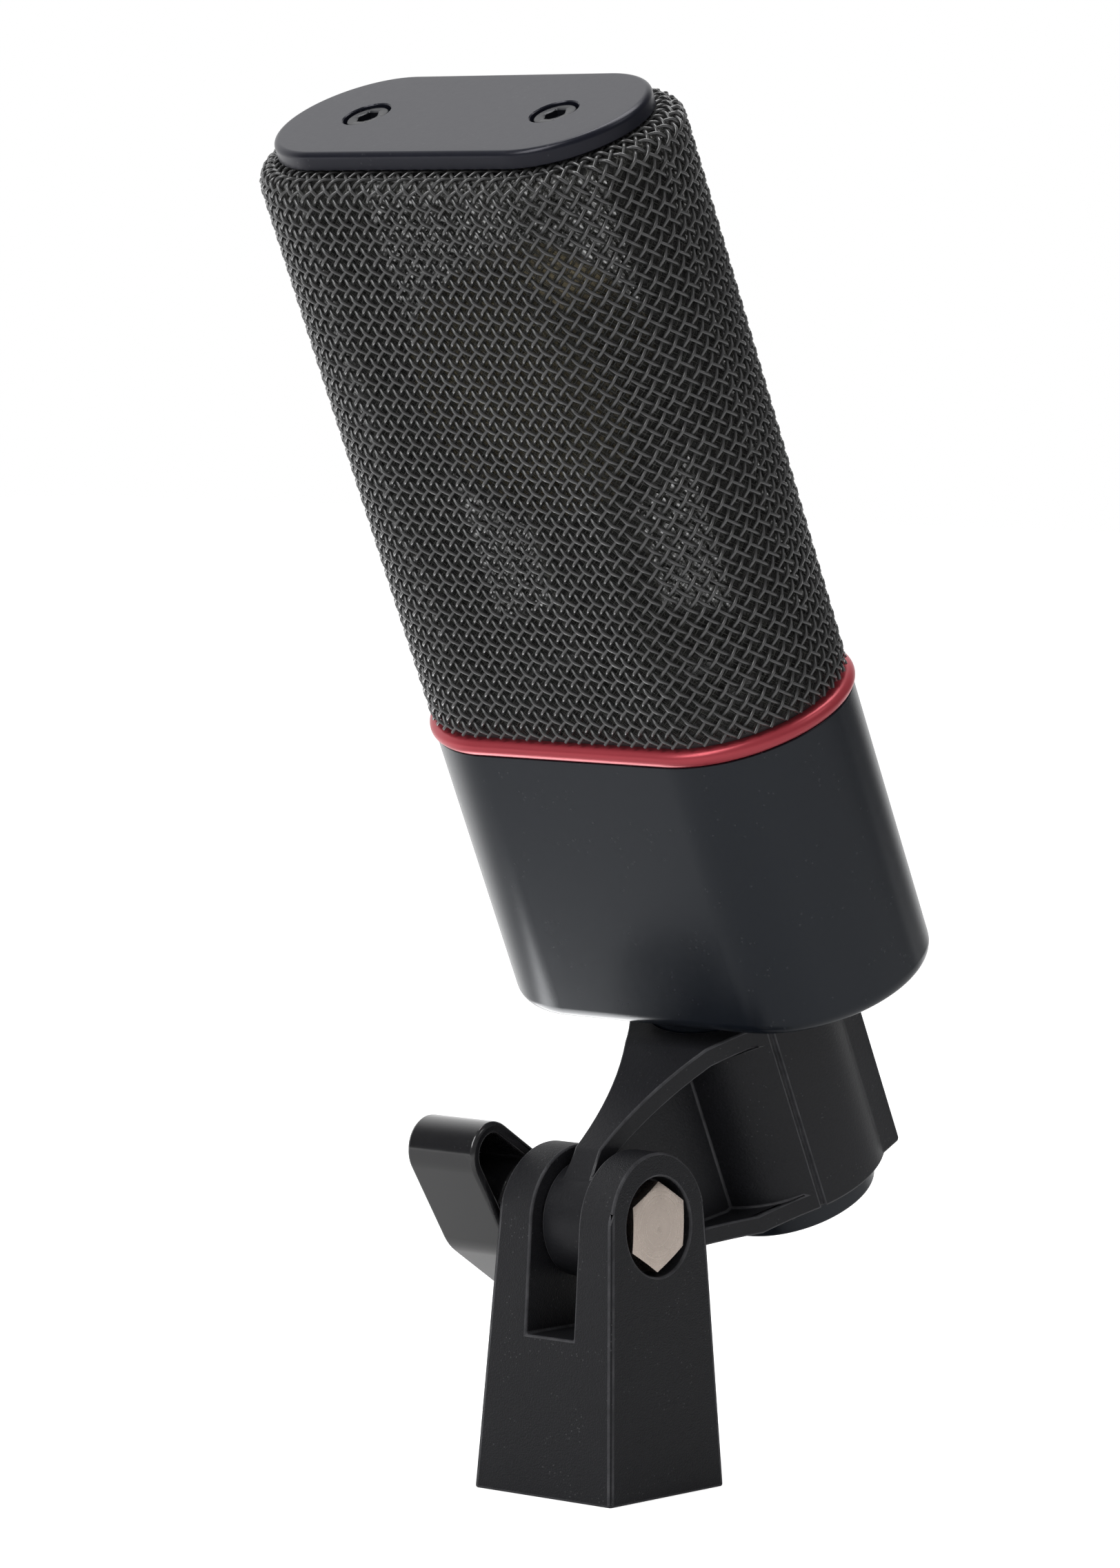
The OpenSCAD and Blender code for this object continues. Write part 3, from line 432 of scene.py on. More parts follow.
class Field:
    """A number in a node tree that adds math nodes as it is reckoned with."""

    def __init__(self, tree: bpy.types.NodeTree, socket: bpy.types.NodeSocket) -> None:
        """Keeps the tree and the socket that gives the number."""
        self.tree, self.socket = tree, socket

    def _do(self, operation: str, *others: Field | float, first: Field | float | None = None) -> Field:
        """Adds one math node.

        Args:
            operation: Blender's name of the operation.
            *others: The further operands.
            first: The first operand, where it isn't this field.

        Returns:
            The result as a field.
        """
        lead = self if first is None else first
        node = wired(self.tree, "ShaderNodeMath", lead, *others, operation=operation)
        return Field(self.tree, node.outputs[0])

    def __add__(self, other: Field | float) -> Field:
        """Returns the sum."""
        return self._do("ADD", other)

    def __sub__(self, other: Field | float) -> Field:
        """Returns the difference."""
        return self._do("SUBTRACT", other)

    def __rsub__(self, other: float) -> Field:
        """Returns a number less this field."""
        return self._do("SUBTRACT", self, first=other)

    def __mul__(self, other: Field | float) -> Field:
        """Returns the product."""
        return self._do("MULTIPLY", other)

    def __truediv__(self, other: Field | float) -> Field:
        """Returns the quotient."""
        return self._do("DIVIDE", other)

    def __rtruediv__(self, other: float) -> Field:
        """Returns a number divided by this field."""
        return self._do("DIVIDE", self, first=other)

    def __abs__(self) -> Field:
        """Returns the absolute value."""
        return self._do("ABSOLUTE")

    def times_plus(self, factor: Field | float, offset: Field | float) -> Field:
        """Returns this field times a factor, plus an offset."""
        return self._do("MULTIPLY_ADD", factor, offset)

    def wrapped(self, other: Field) -> Field:
        """Returns the remainder after division, never negative."""
        return self._do("FLOORED_MODULO", other)

    def least(self, other: Field | float) -> Field:
        """Returns the smaller of two numbers."""
        return self._do("MINIMUM", other)

    def most(self, other: Field | float) -> Field:
        """Returns the larger of two numbers."""
        return self._do("MAXIMUM", other)

    def below(self, limit: float) -> Field:
        """Returns 1 under a limit and 0 from it on."""
        return self._do("LESS_THAN", limit)

    def above(self, limit: float) -> Field:
        """Returns 1 over a limit and 0 up to it."""
        return self._do("GREATER_THAN", limit)

    def floor(self) -> Field:
        """Returns the whole number below."""
        return self._do("FLOOR")

    def root(self) -> Field:
        """Returns the square root."""
        return self._do("SQRT")

    def sign(self) -> Field:
        """Returns -1, 0 or 1."""
        return self._do("SIGN")

    def sin(self) -> Field:
        """Returns the sine."""
        return self._do("SINE")

    def cos(self) -> Field:
        """Returns the cosine."""
        return self._do("COSINE")

    def bearing(self, other: Field) -> Field:
        """Returns the angle whose tangent is this field over another."""
        return self._do("ARCTAN2", other)

    def folded(self, width: float) -> Field:
        """Returns a wave that runs up to a width and back to 0."""
        return self._do("PINGPONG", width)


# ---------------------------------------------------------------- shader groups


class Draft:
    """A shader group under construction, with short ways to add and wire its nodes."""

    def __init__(self, name: str, inputs: dict[str, object], outputs: Sequence[str]) -> None:
        """Makes the group with its named sockets.

        Args:
            name: The group's name.
            inputs: Each input's default, whose kind sets the socket's kind.
            outputs: The outputs' names. "Colour" is a colour, and the others are numbers.
        """
        self.tree = bpy.data.node_groups.new(name, "ShaderNodeTree")
        for label, default in inputs.items():
            kind = "NodeSocketFloat"
            if isinstance(default, tuple):
                kind = "NodeSocketColor" if len(default) == 4 else "NodeSocketVector"
            socket = self.tree.interface.new_socket(name=label, in_out="INPUT", socket_type=kind)
            socket.default_value = default
        for label in outputs:
            kind = "NodeSocketColor" if label == "Colour" else "NodeSocketFloat"
            self.tree.interface.new_socket(name=label, in_out="OUTPUT", socket_type=kind)
        self._given = self.tree.nodes.new("NodeGroupInput")
        self._result = self.tree.nodes.new("NodeGroupOutput")

    def given(self, label: str) -> Field:
        """Returns one of the group's inputs."""
        return self.field(self._given.outputs[label])

    def field(self, socket: bpy.types.NodeSocket) -> Field:
        """Returns a socket of the group as a field."""
        return Field(self.tree, socket)

    def give(self, **values: Field) -> bpy.types.NodeTree:
        """Feeds the group's outputs and returns the finished group.

        Args:
            **values: What feeds each output, by its name.

        Returns:
            The finished group.
        """
        for label, value in values.items():
            plug(self.tree, value, self._result.inputs[label])
        return self.tree

    def spot(self) -> bpy.types.NodeSocket:
        """Returns the Object coordinates."""
        return wired(self.tree, "ShaderNodeTexCoord").outputs["Object"]

    def parts(self, label: str) -> tuple[Field, Field, Field]:
        """Returns the X, Y and Z of one of the group's vector inputs."""
        split = wired(self.tree, "ShaderNodeSeparateXYZ", self.given(label))
        return tuple(self.field(part) for part in split.outputs)

    def noise(self, vector: object, scale: object, detail: float, rough: float = 0.55) -> Field:
        """Adds a noise texture and returns its factor."""
        feeds = (vector, None, scale, detail, rough)
        return self.field(wired(self.tree, "ShaderNodeTexNoise", *feeds).outputs[0])

    def mixed(self, factor: Field, low: Field, high: Field) -> Field:
        """Returns a number between two others."""
        return self.field(wired(self.tree, "ShaderNodeMix", factor, None, low, high).outputs[0])

    def mixed_colour(self, factor: Field, low: Field, high: Field) -> Field:
        """Returns a colour between two others, past the node's five sockets of other kinds."""
        node = wired(self.tree, "ShaderNodeMix", factor, *(None,) * 5, low, high, data_type="RGBA")
        return self.field(node.outputs[2])

    def tinted(self, colour: Field, factor: Field) -> Field:
        """Returns a colour scaled by a factor."""
        node = wired(self.tree, "ShaderNodeVectorMath", colour, None, None, factor, operation="SCALE")
        return self.field(node.outputs[0])


class GroupBook:
    """Builds each shared shader group once and hands it out."""

    GREY = (0.5, 0.5, 0.5, 1.0)
    ORIGIN = (0.0, 0.0, 0.0)
    SMOOTHEST = 0.04
    SPECK_REACH = 0.16
    PATCH_SCALE = 220.0
    PATCH_LIMIT = 0.56
    # how strongly the painted edge highlight shows
    HIGHLIGHT_STRENGTH = 1.2
    GAP_SHARE = 0.12

    def __init__(self) -> None:
        """Starts with no groups."""
        self._made: dict[str, bpy.types.NodeTree] = {}

    def get(self, name: str) -> bpy.types.NodeTree:
        """Returns the named group, built on first use.

        Args:
            name: The group's name, which is also that of its method.

        Returns:
            The group.
        """
        if name not in self._made:
            self._made[name] = getattr(self, f"_{name}")()
        return self._made[name]

    def _skin(self) -> bpy.types.NodeTree:
        """Builds the fine grain and cloudy tone of a moulded or painted surface.

        Returns:
            The finished group.
        """
        inputs = {"Colour": self.GREY, "Grain Scale": 3000.0, "Cloud Scale": 60.0}
        inputs |= {"Tone Spread": 0.2, "Roughness": 0.5, "Roughness Spread": 0.1}
        draft = Draft("skin", inputs, ("Colour", "Roughness", "Height"))
        spot = draft.spot()
        grain = draft.noise(spot, draft.given("Grain Scale"), 3.0)
        cloud = draft.noise(spot, draft.given("Cloud Scale"), 2.0)
        swing = (grain * 0.65 + cloud * 0.35 - 0.5) * 2.0
        tone = swing.times_plus(draft.given("Tone Spread"), 1.0)
        rough = swing.times_plus(draft.given("Roughness Spread"), draft.given("Roughness"))
        colour = draft.tinted(draft.given("Colour"), tone)
        return draft.give(Colour=colour, Roughness=rough.most(self.SMOOTHEST), Height=grain)

    def _edge_rub(self) -> bpy.types.NodeTree:
        """Builds a painted highlight along a piece's rounded edges, lighter and smoother, broken up by
        noise.

        Returns:
            The finished group.
        """
        inputs = {"Colour": self.GREY, "Rubbed": (0.6, 0.6, 0.6, 1.0), "Roughness": 0.5}
        inputs |= {"Rubbed Roughness": 0.4, "Patch Scale": 400.0}
        draft = Draft("edge_rub", inputs, ("Colour", "Roughness"))
        edge = wired(draft.tree, "ShaderNodeAttribute", attribute_name="edge").outputs["Fac"]
        patch = draft.noise(draft.spot(), draft.given("Patch Scale"), 2.0)
        # painted highlight: the rounded edges get a lighter colour and a smoother roughness
        mask = draft.field(edge) * (patch * self.HIGHLIGHT_STRENGTH)
        colour = draft.mixed_colour(mask, draft.given("Colour"), draft.given("Rubbed"))
        rough = draft.mixed(mask, draft.given("Roughness"), draft.given("Rubbed Roughness"))
        return draft.give(Colour=colour, Roughness=rough)

    def _turning(self) -> bpy.types.NodeTree:
        """Builds the fine rings that a lathe leaves about the vector's Z axis.

        Returns:
            The finished group.
        """
        inputs = {"Vector": self.ORIGIN, "Ring Scale": 30000.0}
        inputs |= {"Roughness": 0.3, "Roughness Spread": 0.1}
        draft = Draft("turning", inputs, ("Roughness", "Height"))
        x, y, z = draft.parts("Vector")
        flat = wired(draft.tree, "ShaderNodeCombineXYZ", (x * x + y * y).root(), z)
        lines = draft.noise(flat.outputs[0], draft.given("Ring Scale"), 2.0, 0.7)
        swing = (lines - 0.5) * 2.0
        rough = swing.times_plus(draft.given("Roughness Spread"), draft.given("Roughness"))
        return draft.give(Roughness=rough.most(self.SMOOTHEST), Height=lines)

    def _dust(self) -> bpy.types.NodeTree:
        """Builds sparse fine specks of dust in a paler colour.

        Returns:
            The finished group.
        """
        inputs = {"Colour": self.GREY, "Dust": (0.35, 0.35, 0.36, 1.0)}
        inputs |= {"Speck Scale": 1500.0, "Amount": 0.15}
        draft = Draft("dust", inputs, ("Colour",))
        spot = draft.spot()
        specks = wired(draft.tree, "ShaderNodeTexVoronoi", spot, None, draft.given("Speck Scale"))
        near = draft.field(specks.outputs["Distance"]).below(self.SPECK_REACH)
        some = draft.noise(spot, self.PATCH_SCALE, 1.0).above(self.PATCH_LIMIT)
        mask = near * some * draft.given("Amount")
        colour = draft.mixed_colour(mask, draft.given("Colour"), draft.given("Dust"))
        return draft.give(Colour=colour)

    def _net(self) -> bpy.types.NodeTree:
        """Builds a net of wires at 45 degrees around a stadium that stands along the vector's Z.

        Returns:
            The finished group.
        """
        inputs = {"Vector": self.ORIGIN, "Pitch": 0.001, "Half Run": 0.01, "End Radius": 0.01}
        inputs |= {"Clear Alpha": 0.3, "Wire Alpha": 0.9}
        draft = Draft("net", inputs, ("Alpha", "Height"))
        x, y, z = draft.parts("Vector")
        across, run = abs(x), draft.given("Half Run")
        bend = (across - run).most(0.0).bearing(abs(y))
        around = bend.times_plus(draft.given("End Radius"), across.least(run)) * x.sign()
        turn = 2 * math.pi / draft.given("Pitch")
        rising, falling = ((way * turn).cos() for way in (around + z, around - z))
        wire = rising.most(falling).most(0.0)
        alpha = draft.mixed(wire, draft.given("Clear Alpha"), draft.given("Wire Alpha"))
        return draft.give(Alpha=alpha, Height=wire)

    def _layers(self) -> bpy.types.NodeTree:
        """Builds thin even layers across the vector's X axis, as in a stack of sheets.

        Returns:
            The finished group.
        """
        inputs = {"Vector": self.ORIGIN, "Pitch": 0.0005}
        inputs |= {"Colour": self.GREY, "Gap": (0.1, 0.1, 0.1, 1.0)}
        draft = Draft("layers", inputs, ("Colour", "Height"))
        across, _, _ = draft.parts("Vector")
        saw = (across / draft.given("Pitch")).folded(0.5)
        sheet, gap = draft.given("Colour"), draft.given("Gap")
        colour = draft.mixed_colour(saw.above(self.GAP_SHARE), gap, sheet)
        return draft.give(Colour=colour, Height=saw)


GROUPS = GroupBook()


# ---------------------------------------------------------------- finishes


class Sheet:
    """A material under construction: its nodes, its main shader and short ways to wire them."""

    def __init__(self, name: str) -> None:
        """Makes an empty material with a Principled BSDF.

        Args:
            name: The material's name.
        """
        self.material = bpy.data.materials.new(name)
        self.material.use_nodes = True
        self.tree = self.material.node_tree
        self.shader = self.tree.nodes["Principled BSDF"]

    def group(self, name: str, **values: object) -> bpy.types.NodeOutputs:
        """Places a shared group.

        Args:
            name: The group's name in the book.
            **values: A socket or a constant for each input, with _ for each space in its name.

        Returns:
            The group's outputs.
        """
        node = wired(self.tree, "ShaderNodeGroup", node_tree=GROUPS.get(name))
        for key, value in values.items():
            plug(self.tree, value, node.inputs[key.replace("_", " ")])
        return node.outputs

    def surface(self, colour: object, rough: object, normal: object, **others: object) -> None:
        """Feeds the main shader.

        Args:
            colour: What gives the base colour.
            rough: What gives the roughness.
            normal: What gives the normal.
            **others: A socket or a constant for other inputs, with _ for each space.
        """
        feeds = {"Base Color": colour, "Roughness": rough, "Normal": normal, **others}
        for key, value in feeds.items():
            plug(self.tree, value, self.shader.inputs[key.replace("_", " ")])

    def bump(
        self, height: bpy.types.NodeSocket, depth: float, under: bpy.types.NodeSocket | None = None
    ) -> bpy.types.NodeSocket:
        """Adds a bump node and returns its normal.

        Args:
            height: The height, from 0 to 1.
            depth: The real depth in metres of a height of 1.
            under: The normal of a bump below this one, or None.

        Returns:
            The bumped normal.
        """
        node = wired(self.tree, "ShaderNodeBump")
        feeds = {"Distance": depth, "Strength": 1.0, "Height": height, "Normal": under}
        for key, value in feeds.items():
            if value is not None:
                plug(self.tree, value, node.inputs[key])
        return node.outputs[0]

    def placed(self, place: Matrix) -> bpy.types.NodeSocket:
        """Returns Object coordinates seen from a frame given by its matrix to the row's frame.

        Args:
            place: The matrix from the frame to the row's frame.

        Returns:
            The coordinates in that frame.
        """
        centre, turn, _ = place.decompose()
        spot = wired(self.tree, "ShaderNodeTexCoord").outputs["Object"]
        feeds = (spot, centre, turn.to_euler())
        return wired(self.tree, "ShaderNodeMapping", *feeds, vector_type="TEXTURE").outputs[0]


def full(colour: Colour) -> tuple[float, float, float, float]:
    """Returns a colour with an alpha of 1."""
    return (*colour, 1.0)


def scaled(colour: Colour, factor: float) -> Colour:
    """Returns a colour times a factor, no brighter than white."""
    return tuple(min(1.0, part * factor) for part in colour)


@dataclass(frozen=True)
class Finish:
    """A finish of one of the record's material slots."""

    slot: str
    colour: Colour

    def build(self) -> bpy.types.Material:
        """Returns the finish as a new material.

        Returns:
            The material.
        """
        sheet = Sheet(self.slot)
        self.lay(sheet)
        sheet.material.diffuse_color = full(self.colour)
        return sheet.material

    def lay(self, sheet: Sheet) -> None:
        """Wires the finish's nodes into a sheet."""
        raise NotImplementedError


@dataclass(frozen=True)
class Moulding(Finish):
    """Moulded plastic: a fine skin grain, a painted highlight along its rounded edges and a little
    dust.
    """

    roughness: float = 0.5
    grain: float = 0.25 * MM
    depth: float = 0.02 * MM
    tone: float = 0.25
    spread: float = 0.08
    # colour and roughness of the painted highlight along the rounded edges
    rubbed: Colour = (0.06, 0.06, 0.062)
    rubbed_roughness: float = 0.42
    dust: float = 0.1
    specular: float = 0.5
    coat: float = 0.0
    coat_roughness: float = 0.12

    def lay(self, sheet: Sheet) -> None:
        """Wires grain, the painted edge highlight and dust into a sheet.

        Args:
            sheet: The material under construction.
        """
        skin = sheet.group(
            "skin", Colour=full(self.colour), Grain_Scale=1 / self.grain, Cloud_Scale=70.0,
            Tone_Spread=self.tone, Roughness=self.roughness, Roughness_Spread=self.spread,
        )
        dust = sheet.group("dust", Colour=skin["Colour"], Amount=self.dust)
        # painted highlight along the rounded edges
        lit_edge = sheet.group(
            "edge_rub", Colour=dust["Colour"], Rubbed=full(self.rubbed),
            Roughness=skin["Roughness"], Rubbed_Roughness=self.rubbed_roughness,
        )
        sheet.surface(
            lit_edge["Colour"], lit_edge["Roughness"], sheet.bump(skin["Height"], self.depth),
            Specular_IOR_Level=self.specular, Coat_Weight=self.coat, Coat_Roughness=self.coat_roughness,
        )


@dataclass(frozen=True)
class Paint(Finish):
    """Sprayed satin paint on metal: a soft orange peel with fine flecks under a thin sheen."""

    roughness: float = 0.34
    peel: float = 0.9 * MM
    depth: float = 0.004 * MM
    fleck_depth: float = 0.0012 * MM
    specular: float = 0.5
    sheen: Colour = (0.93, 0.96, 1.0)

    def lay(self, sheet: Sheet) -> None:
        """Wires the paint's peel, tone and dust into a sheet.

        Args:
            sheet: The material under construction.
        """
        peel = sheet.group(
            "skin", Colour=full(self.colour), Grain_Scale=1 / self.peel, Cloud_Scale=25.0,
            Tone_Spread=0.1, Roughness=self.roughness, Roughness_Spread=0.03,
        )
        fleck = sheet.group(
            "skin", Colour=peel["Colour"], Grain_Scale=7000.0, Cloud_Scale=900.0,
            Tone_Spread=0.16, Roughness=peel["Roughness"], Roughness_Spread=0.04,
        )
        dust = sheet.group("dust", Colour=fleck["Colour"], Amount=0.06, Speck_Scale=1100.0)
        low = sheet.bump(peel["Height"], self.depth)
        normal = sheet.bump(fleck["Height"], self.fleck_depth, under=low)
        sheet.surface(
            dust["Colour"], fleck["Roughness"], normal,
            Specular_IOR_Level=self.specular, Specular_Tint=full(self.sheen),
        )


@dataclass(frozen=True)
class Metal(Finish):
    """Bare or dyed metal, turned about an axis or tumbled where it has none."""

    roughness: float = 0.3
    spread: float = 0.08
    metallic: float = 1.0
    axis: Matrix | None = None
    ring: float = 0.12 * MM
    depth: float = 0.003 * MM
    tone: float = 0.12
    # colour of the painted highlight along the rounded edges, or a lighter copy of the metal's colour
    rubbed: Colour | None = None

    def lay(self, sheet: Sheet) -> None:
        """Wires turning lines or a tumbled grain into a sheet.

        Args:
            sheet: The material under construction.
        """
        skin = sheet.group(
            "skin", Colour=full(self.colour), Grain_Scale=2500.0, Cloud_Scale=160.0,
            Tone_Spread=self.tone, Roughness=self.roughness, Roughness_Spread=self.spread,
        )
        worked = skin
        if self.axis is not None:
            worked = sheet.group(
                "turning", Vector=sheet.placed(self.axis), Ring_Scale=1 / self.ring,
                Roughness=skin["Roughness"], Roughness_Spread=self.spread,
            )
        # painted highlight: the rounded edges drawn lighter than the metal
        lit_edge = sheet.group(
            "edge_rub", Colour=skin["Colour"], Rubbed=full(self.rubbed or scaled(self.colour, 1.25)),
            Roughness=worked["Roughness"], Rubbed_Roughness=max(self.roughness - 0.06, 0.08),
            Patch_Scale=900.0,
        )
        normal = sheet.bump(worked["Height"], self.depth)
        sheet.surface(lit_edge["Colour"], lit_edge["Roughness"], normal, Metallic=self.metallic)


@dataclass(frozen=True)
class Gauze(Finish):
    """The fine inner gauze, too fine to draw wire by wire: a grey net that light passes through."""

    place: Matrix = field(default_factory=Matrix)
    pitch: float = 1.36 * MM
    half_run: float = 15.1 * MM
    end_radius: float = 14.4 * MM
    clear: float = 0.24
    wire: float = 0.76
    grain_depth: float = 0.04 * MM
    wire_depth: float = 0.16 * MM

    def lay(self, sheet: Sheet) -> None:
        """Wires the net's tone, height and openness into a sheet.

        Args:
            sheet: The material under construction.
        """
        skin = sheet.group(
            "skin", Colour=full(self.colour), Grain_Scale=3500.0, Cloud_Scale=300.0,
            Tone_Spread=0.4, Roughness=0.42, Roughness_Spread=0.15,
        )
        net = sheet.group(
            "net", Vector=sheet.placed(self.place), Pitch=self.pitch, Half_Run=self.half_run,
            End_Radius=self.end_radius, Clear_Alpha=self.clear, Wire_Alpha=self.wire,
        )
        fine = sheet.bump(skin["Height"], self.grain_depth)
        normal = sheet.bump(net["Height"], self.wire_depth, under=fine)
        sheet.surface(skin["Colour"], skin["Roughness"], normal, Alpha=net["Alpha"], Metallic=0.35)


@dataclass(frozen=True)
class Film(Finish):
    """The gold-sputtered film of a diaphragm, with a faint wrinkle from its tension."""

    wrinkle: float = 0.01 * MM

    def lay(self, sheet: Sheet) -> None:
        """Wires long soft wrinkles into a sheet.

        Args:
            sheet: The material under construction.
        """
        skin = sheet.group(
            "skin", Colour=full(self.colour), Grain_Scale=350.0, Cloud_Scale=90.0,
            Tone_Spread=0.08, Roughness=0.16, Roughness_Spread=0.05,
        )
        normal = sheet.bump(skin["Height"], self.wrinkle)
        sheet.surface(skin["Colour"], skin["Roughness"], normal, Metallic=1.0)


@dataclass(frozen=True)
class Layered(Finish):
    """A surface ruled in even lines: a board's tracks under its mask, or a core's stacked sheets."""

    place: Matrix = field(default_factory=Matrix)
    pitch: float = 1.3 * MM
    gap: float = 1.7
    grain: float = 1800.0
    cloud: float = 200.0
    tone: float = 0.15
    roughness: float = 0.3
    spread: float = 0.08
    depth: float = 0.02 * MM
    metallic: float = 0.0

    def lay(self, sheet: Sheet) -> None:
        """Wires the lines and their tone into a sheet.

        Args:
            sheet: The material under construction.
        """
        lines = sheet.group(
            "layers", Vector=sheet.placed(self.place), Pitch=self.pitch,
            Colour=full(self.colour), Gap=full(scaled(self.colour, self.gap)),
        )
        skin = sheet.group(
            "skin", Colour=lines["Colour"], Grain_Scale=self.grain, Cloud_Scale=self.cloud,
            Tone_Spread=self.tone, Roughness=self.roughness, Roughness_Spread=self.spread,
        )
        normal = sheet.bump(lines["Height"], self.depth)
        sheet.surface(skin["Colour"], skin["Roughness"], normal, Metallic=self.metallic)


class Wardrobe:
    """Builds each finish once, by slot, and dresses pieces in it."""

    def __init__(self, finishes: Iterable[Finish]) -> None:
        """Keeps the finishes by the name of their slot."""
        self._finishes = {finish.slot: finish for finish in finishes}
        self._made: dict[str, bpy.types.Material] = {}

    def material(self, slot: str) -> bpy.types.Material:
        """Returns a slot's material, built on first use.

        Args:
            slot: The record's material slot.

        Returns:
            The material.
        """
        if slot not in self._made:
            self._made[slot] = self._finishes[slot].build()
        return self._made[slot]

    def dress(self, piece: bpy.types.Object, slot: str) -> None:
        """Gives a whole piece one slot's material, in all of its material slots.

        Args:
            piece: The piece to dress.
            slot: The record's material slot.
        """
        material = self.material(slot)
        if not piece.material_slots:
            piece.data.materials.append(material)
        for held in piece.material_slots:
            held.material = material


def mount(piece: bpy.types.Object, body: Body, slot: str, wardrobe: Wardrobe, *nodes: str) -> None:
    """Gives a finished piece its finish, its body and the solids that it stands for.

    Args:
        piece: The finished piece, at the origin.
        body: The body it rides on.
        slot: The record's material slot.
        wardrobe: The finishes.
        *nodes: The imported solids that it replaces.
    """
    wardrobe.dress(piece, slot)
    if nodes:
        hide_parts(*nodes)
    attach(piece, body.value)
    LOG.info("%s: %d faces on %s, in %s", piece.name, len(piece.data.polygons), body.value, slot)


# ---------------------------------------------------------------- Geometry Nodes


class NodeRecipe:
    """A Geometry Nodes tree with named inputs that makes one kind of repeated thing."""

    KINDS = {
        float: "NodeSocketFloat",
        int: "NodeSocketInt",
        "object": "NodeSocketObject",
        "material": "NodeSocketMaterial",
    }

    def __init__(self, name: str, inputs: dict[str, object]) -> None:
        """Makes the tree with its inputs and its geometry output.

        Args:
            name: The tree's name.
            inputs: Each input's kind: float, int, "object" or "material".
        """
        self.tree = bpy.data.node_groups.new(name, "GeometryNodeTree")
        ports = self.tree.interface
        ports.new_socket(name="Geometry", in_out="INPUT", socket_type="NodeSocketGeometry")
        self.sockets = {
            label: ports.new_socket(
                name=label, in_out="INPUT", socket_type=self.KINDS[kind]
            ).identifier
            for label, kind in inputs.items()
        }
        ports.new_socket(name="Geometry", in_out="OUTPUT", socket_type="NodeSocketGeometry")
        self.given = self.tree.nodes.new("NodeGroupInput")
        self.result = self.tree.nodes.new("NodeGroupOutput")

    def node(self, kind: str, **links: object) -> bpy.types.Node:
        """Adds a node.

        Args:
            kind: The node's type name.
            **links: A socket, a field or a constant for each input, with _ for each space.

        Returns:
            The new node.
        """
        made = self.tree.nodes.new(kind)
        for key, value in links.items():
            plug(self.tree, value, made.inputs[key.replace("_", " ")])
        return made

    def value(self, label: str) -> Field:
        """Returns one of the tree's inputs as a field."""
        return Field(self.tree, self.given.outputs[label])

    def finish(self, geometry: bpy.types.NodeSocket, material: str) -> None:
        """Ends the tree with Realize Instances and Set Material.

        Args:
            geometry: What the tree has made.
            material: The name of the input that holds the material.
        """
        real = self.node("GeometryNodeRealizeInstances", Geometry=geometry).outputs[0]
        given = self.given.outputs[material]
        dressed = self.node("GeometryNodeSetMaterial", Geometry=real, Material=given)
        self.tree.links.new(dressed.outputs[0], self.result.inputs[0])

    def run(self, name: str, base: bpy.types.Mesh, place: Matrix, **values: object) -> bpy.types.Object:
        """Runs the tree on a mesh and keeps what it makes as a plain piece.

        Args:
            name: The new piece's name.
            base: The mesh that the tree starts from.
            place: The matrix from the tree's frame to the row's frame.
            **values: A value for each input, with _ for each space in its name.

        Returns:
            The new piece at the origin, with its place in its mesh.
        """
        piece = bpy.data.objects.new(name, base)
        bpy.context.scene.collection.objects.link(piece)
        modifier = piece.modifiers.new(name, "NODES")
        modifier.node_group = self.tree
        for key, value in values.items():
            modifier[self.sockets[key.replace("_", " ")]] = value
        baked(piece)
        piece.data.transform(place)
        return piece


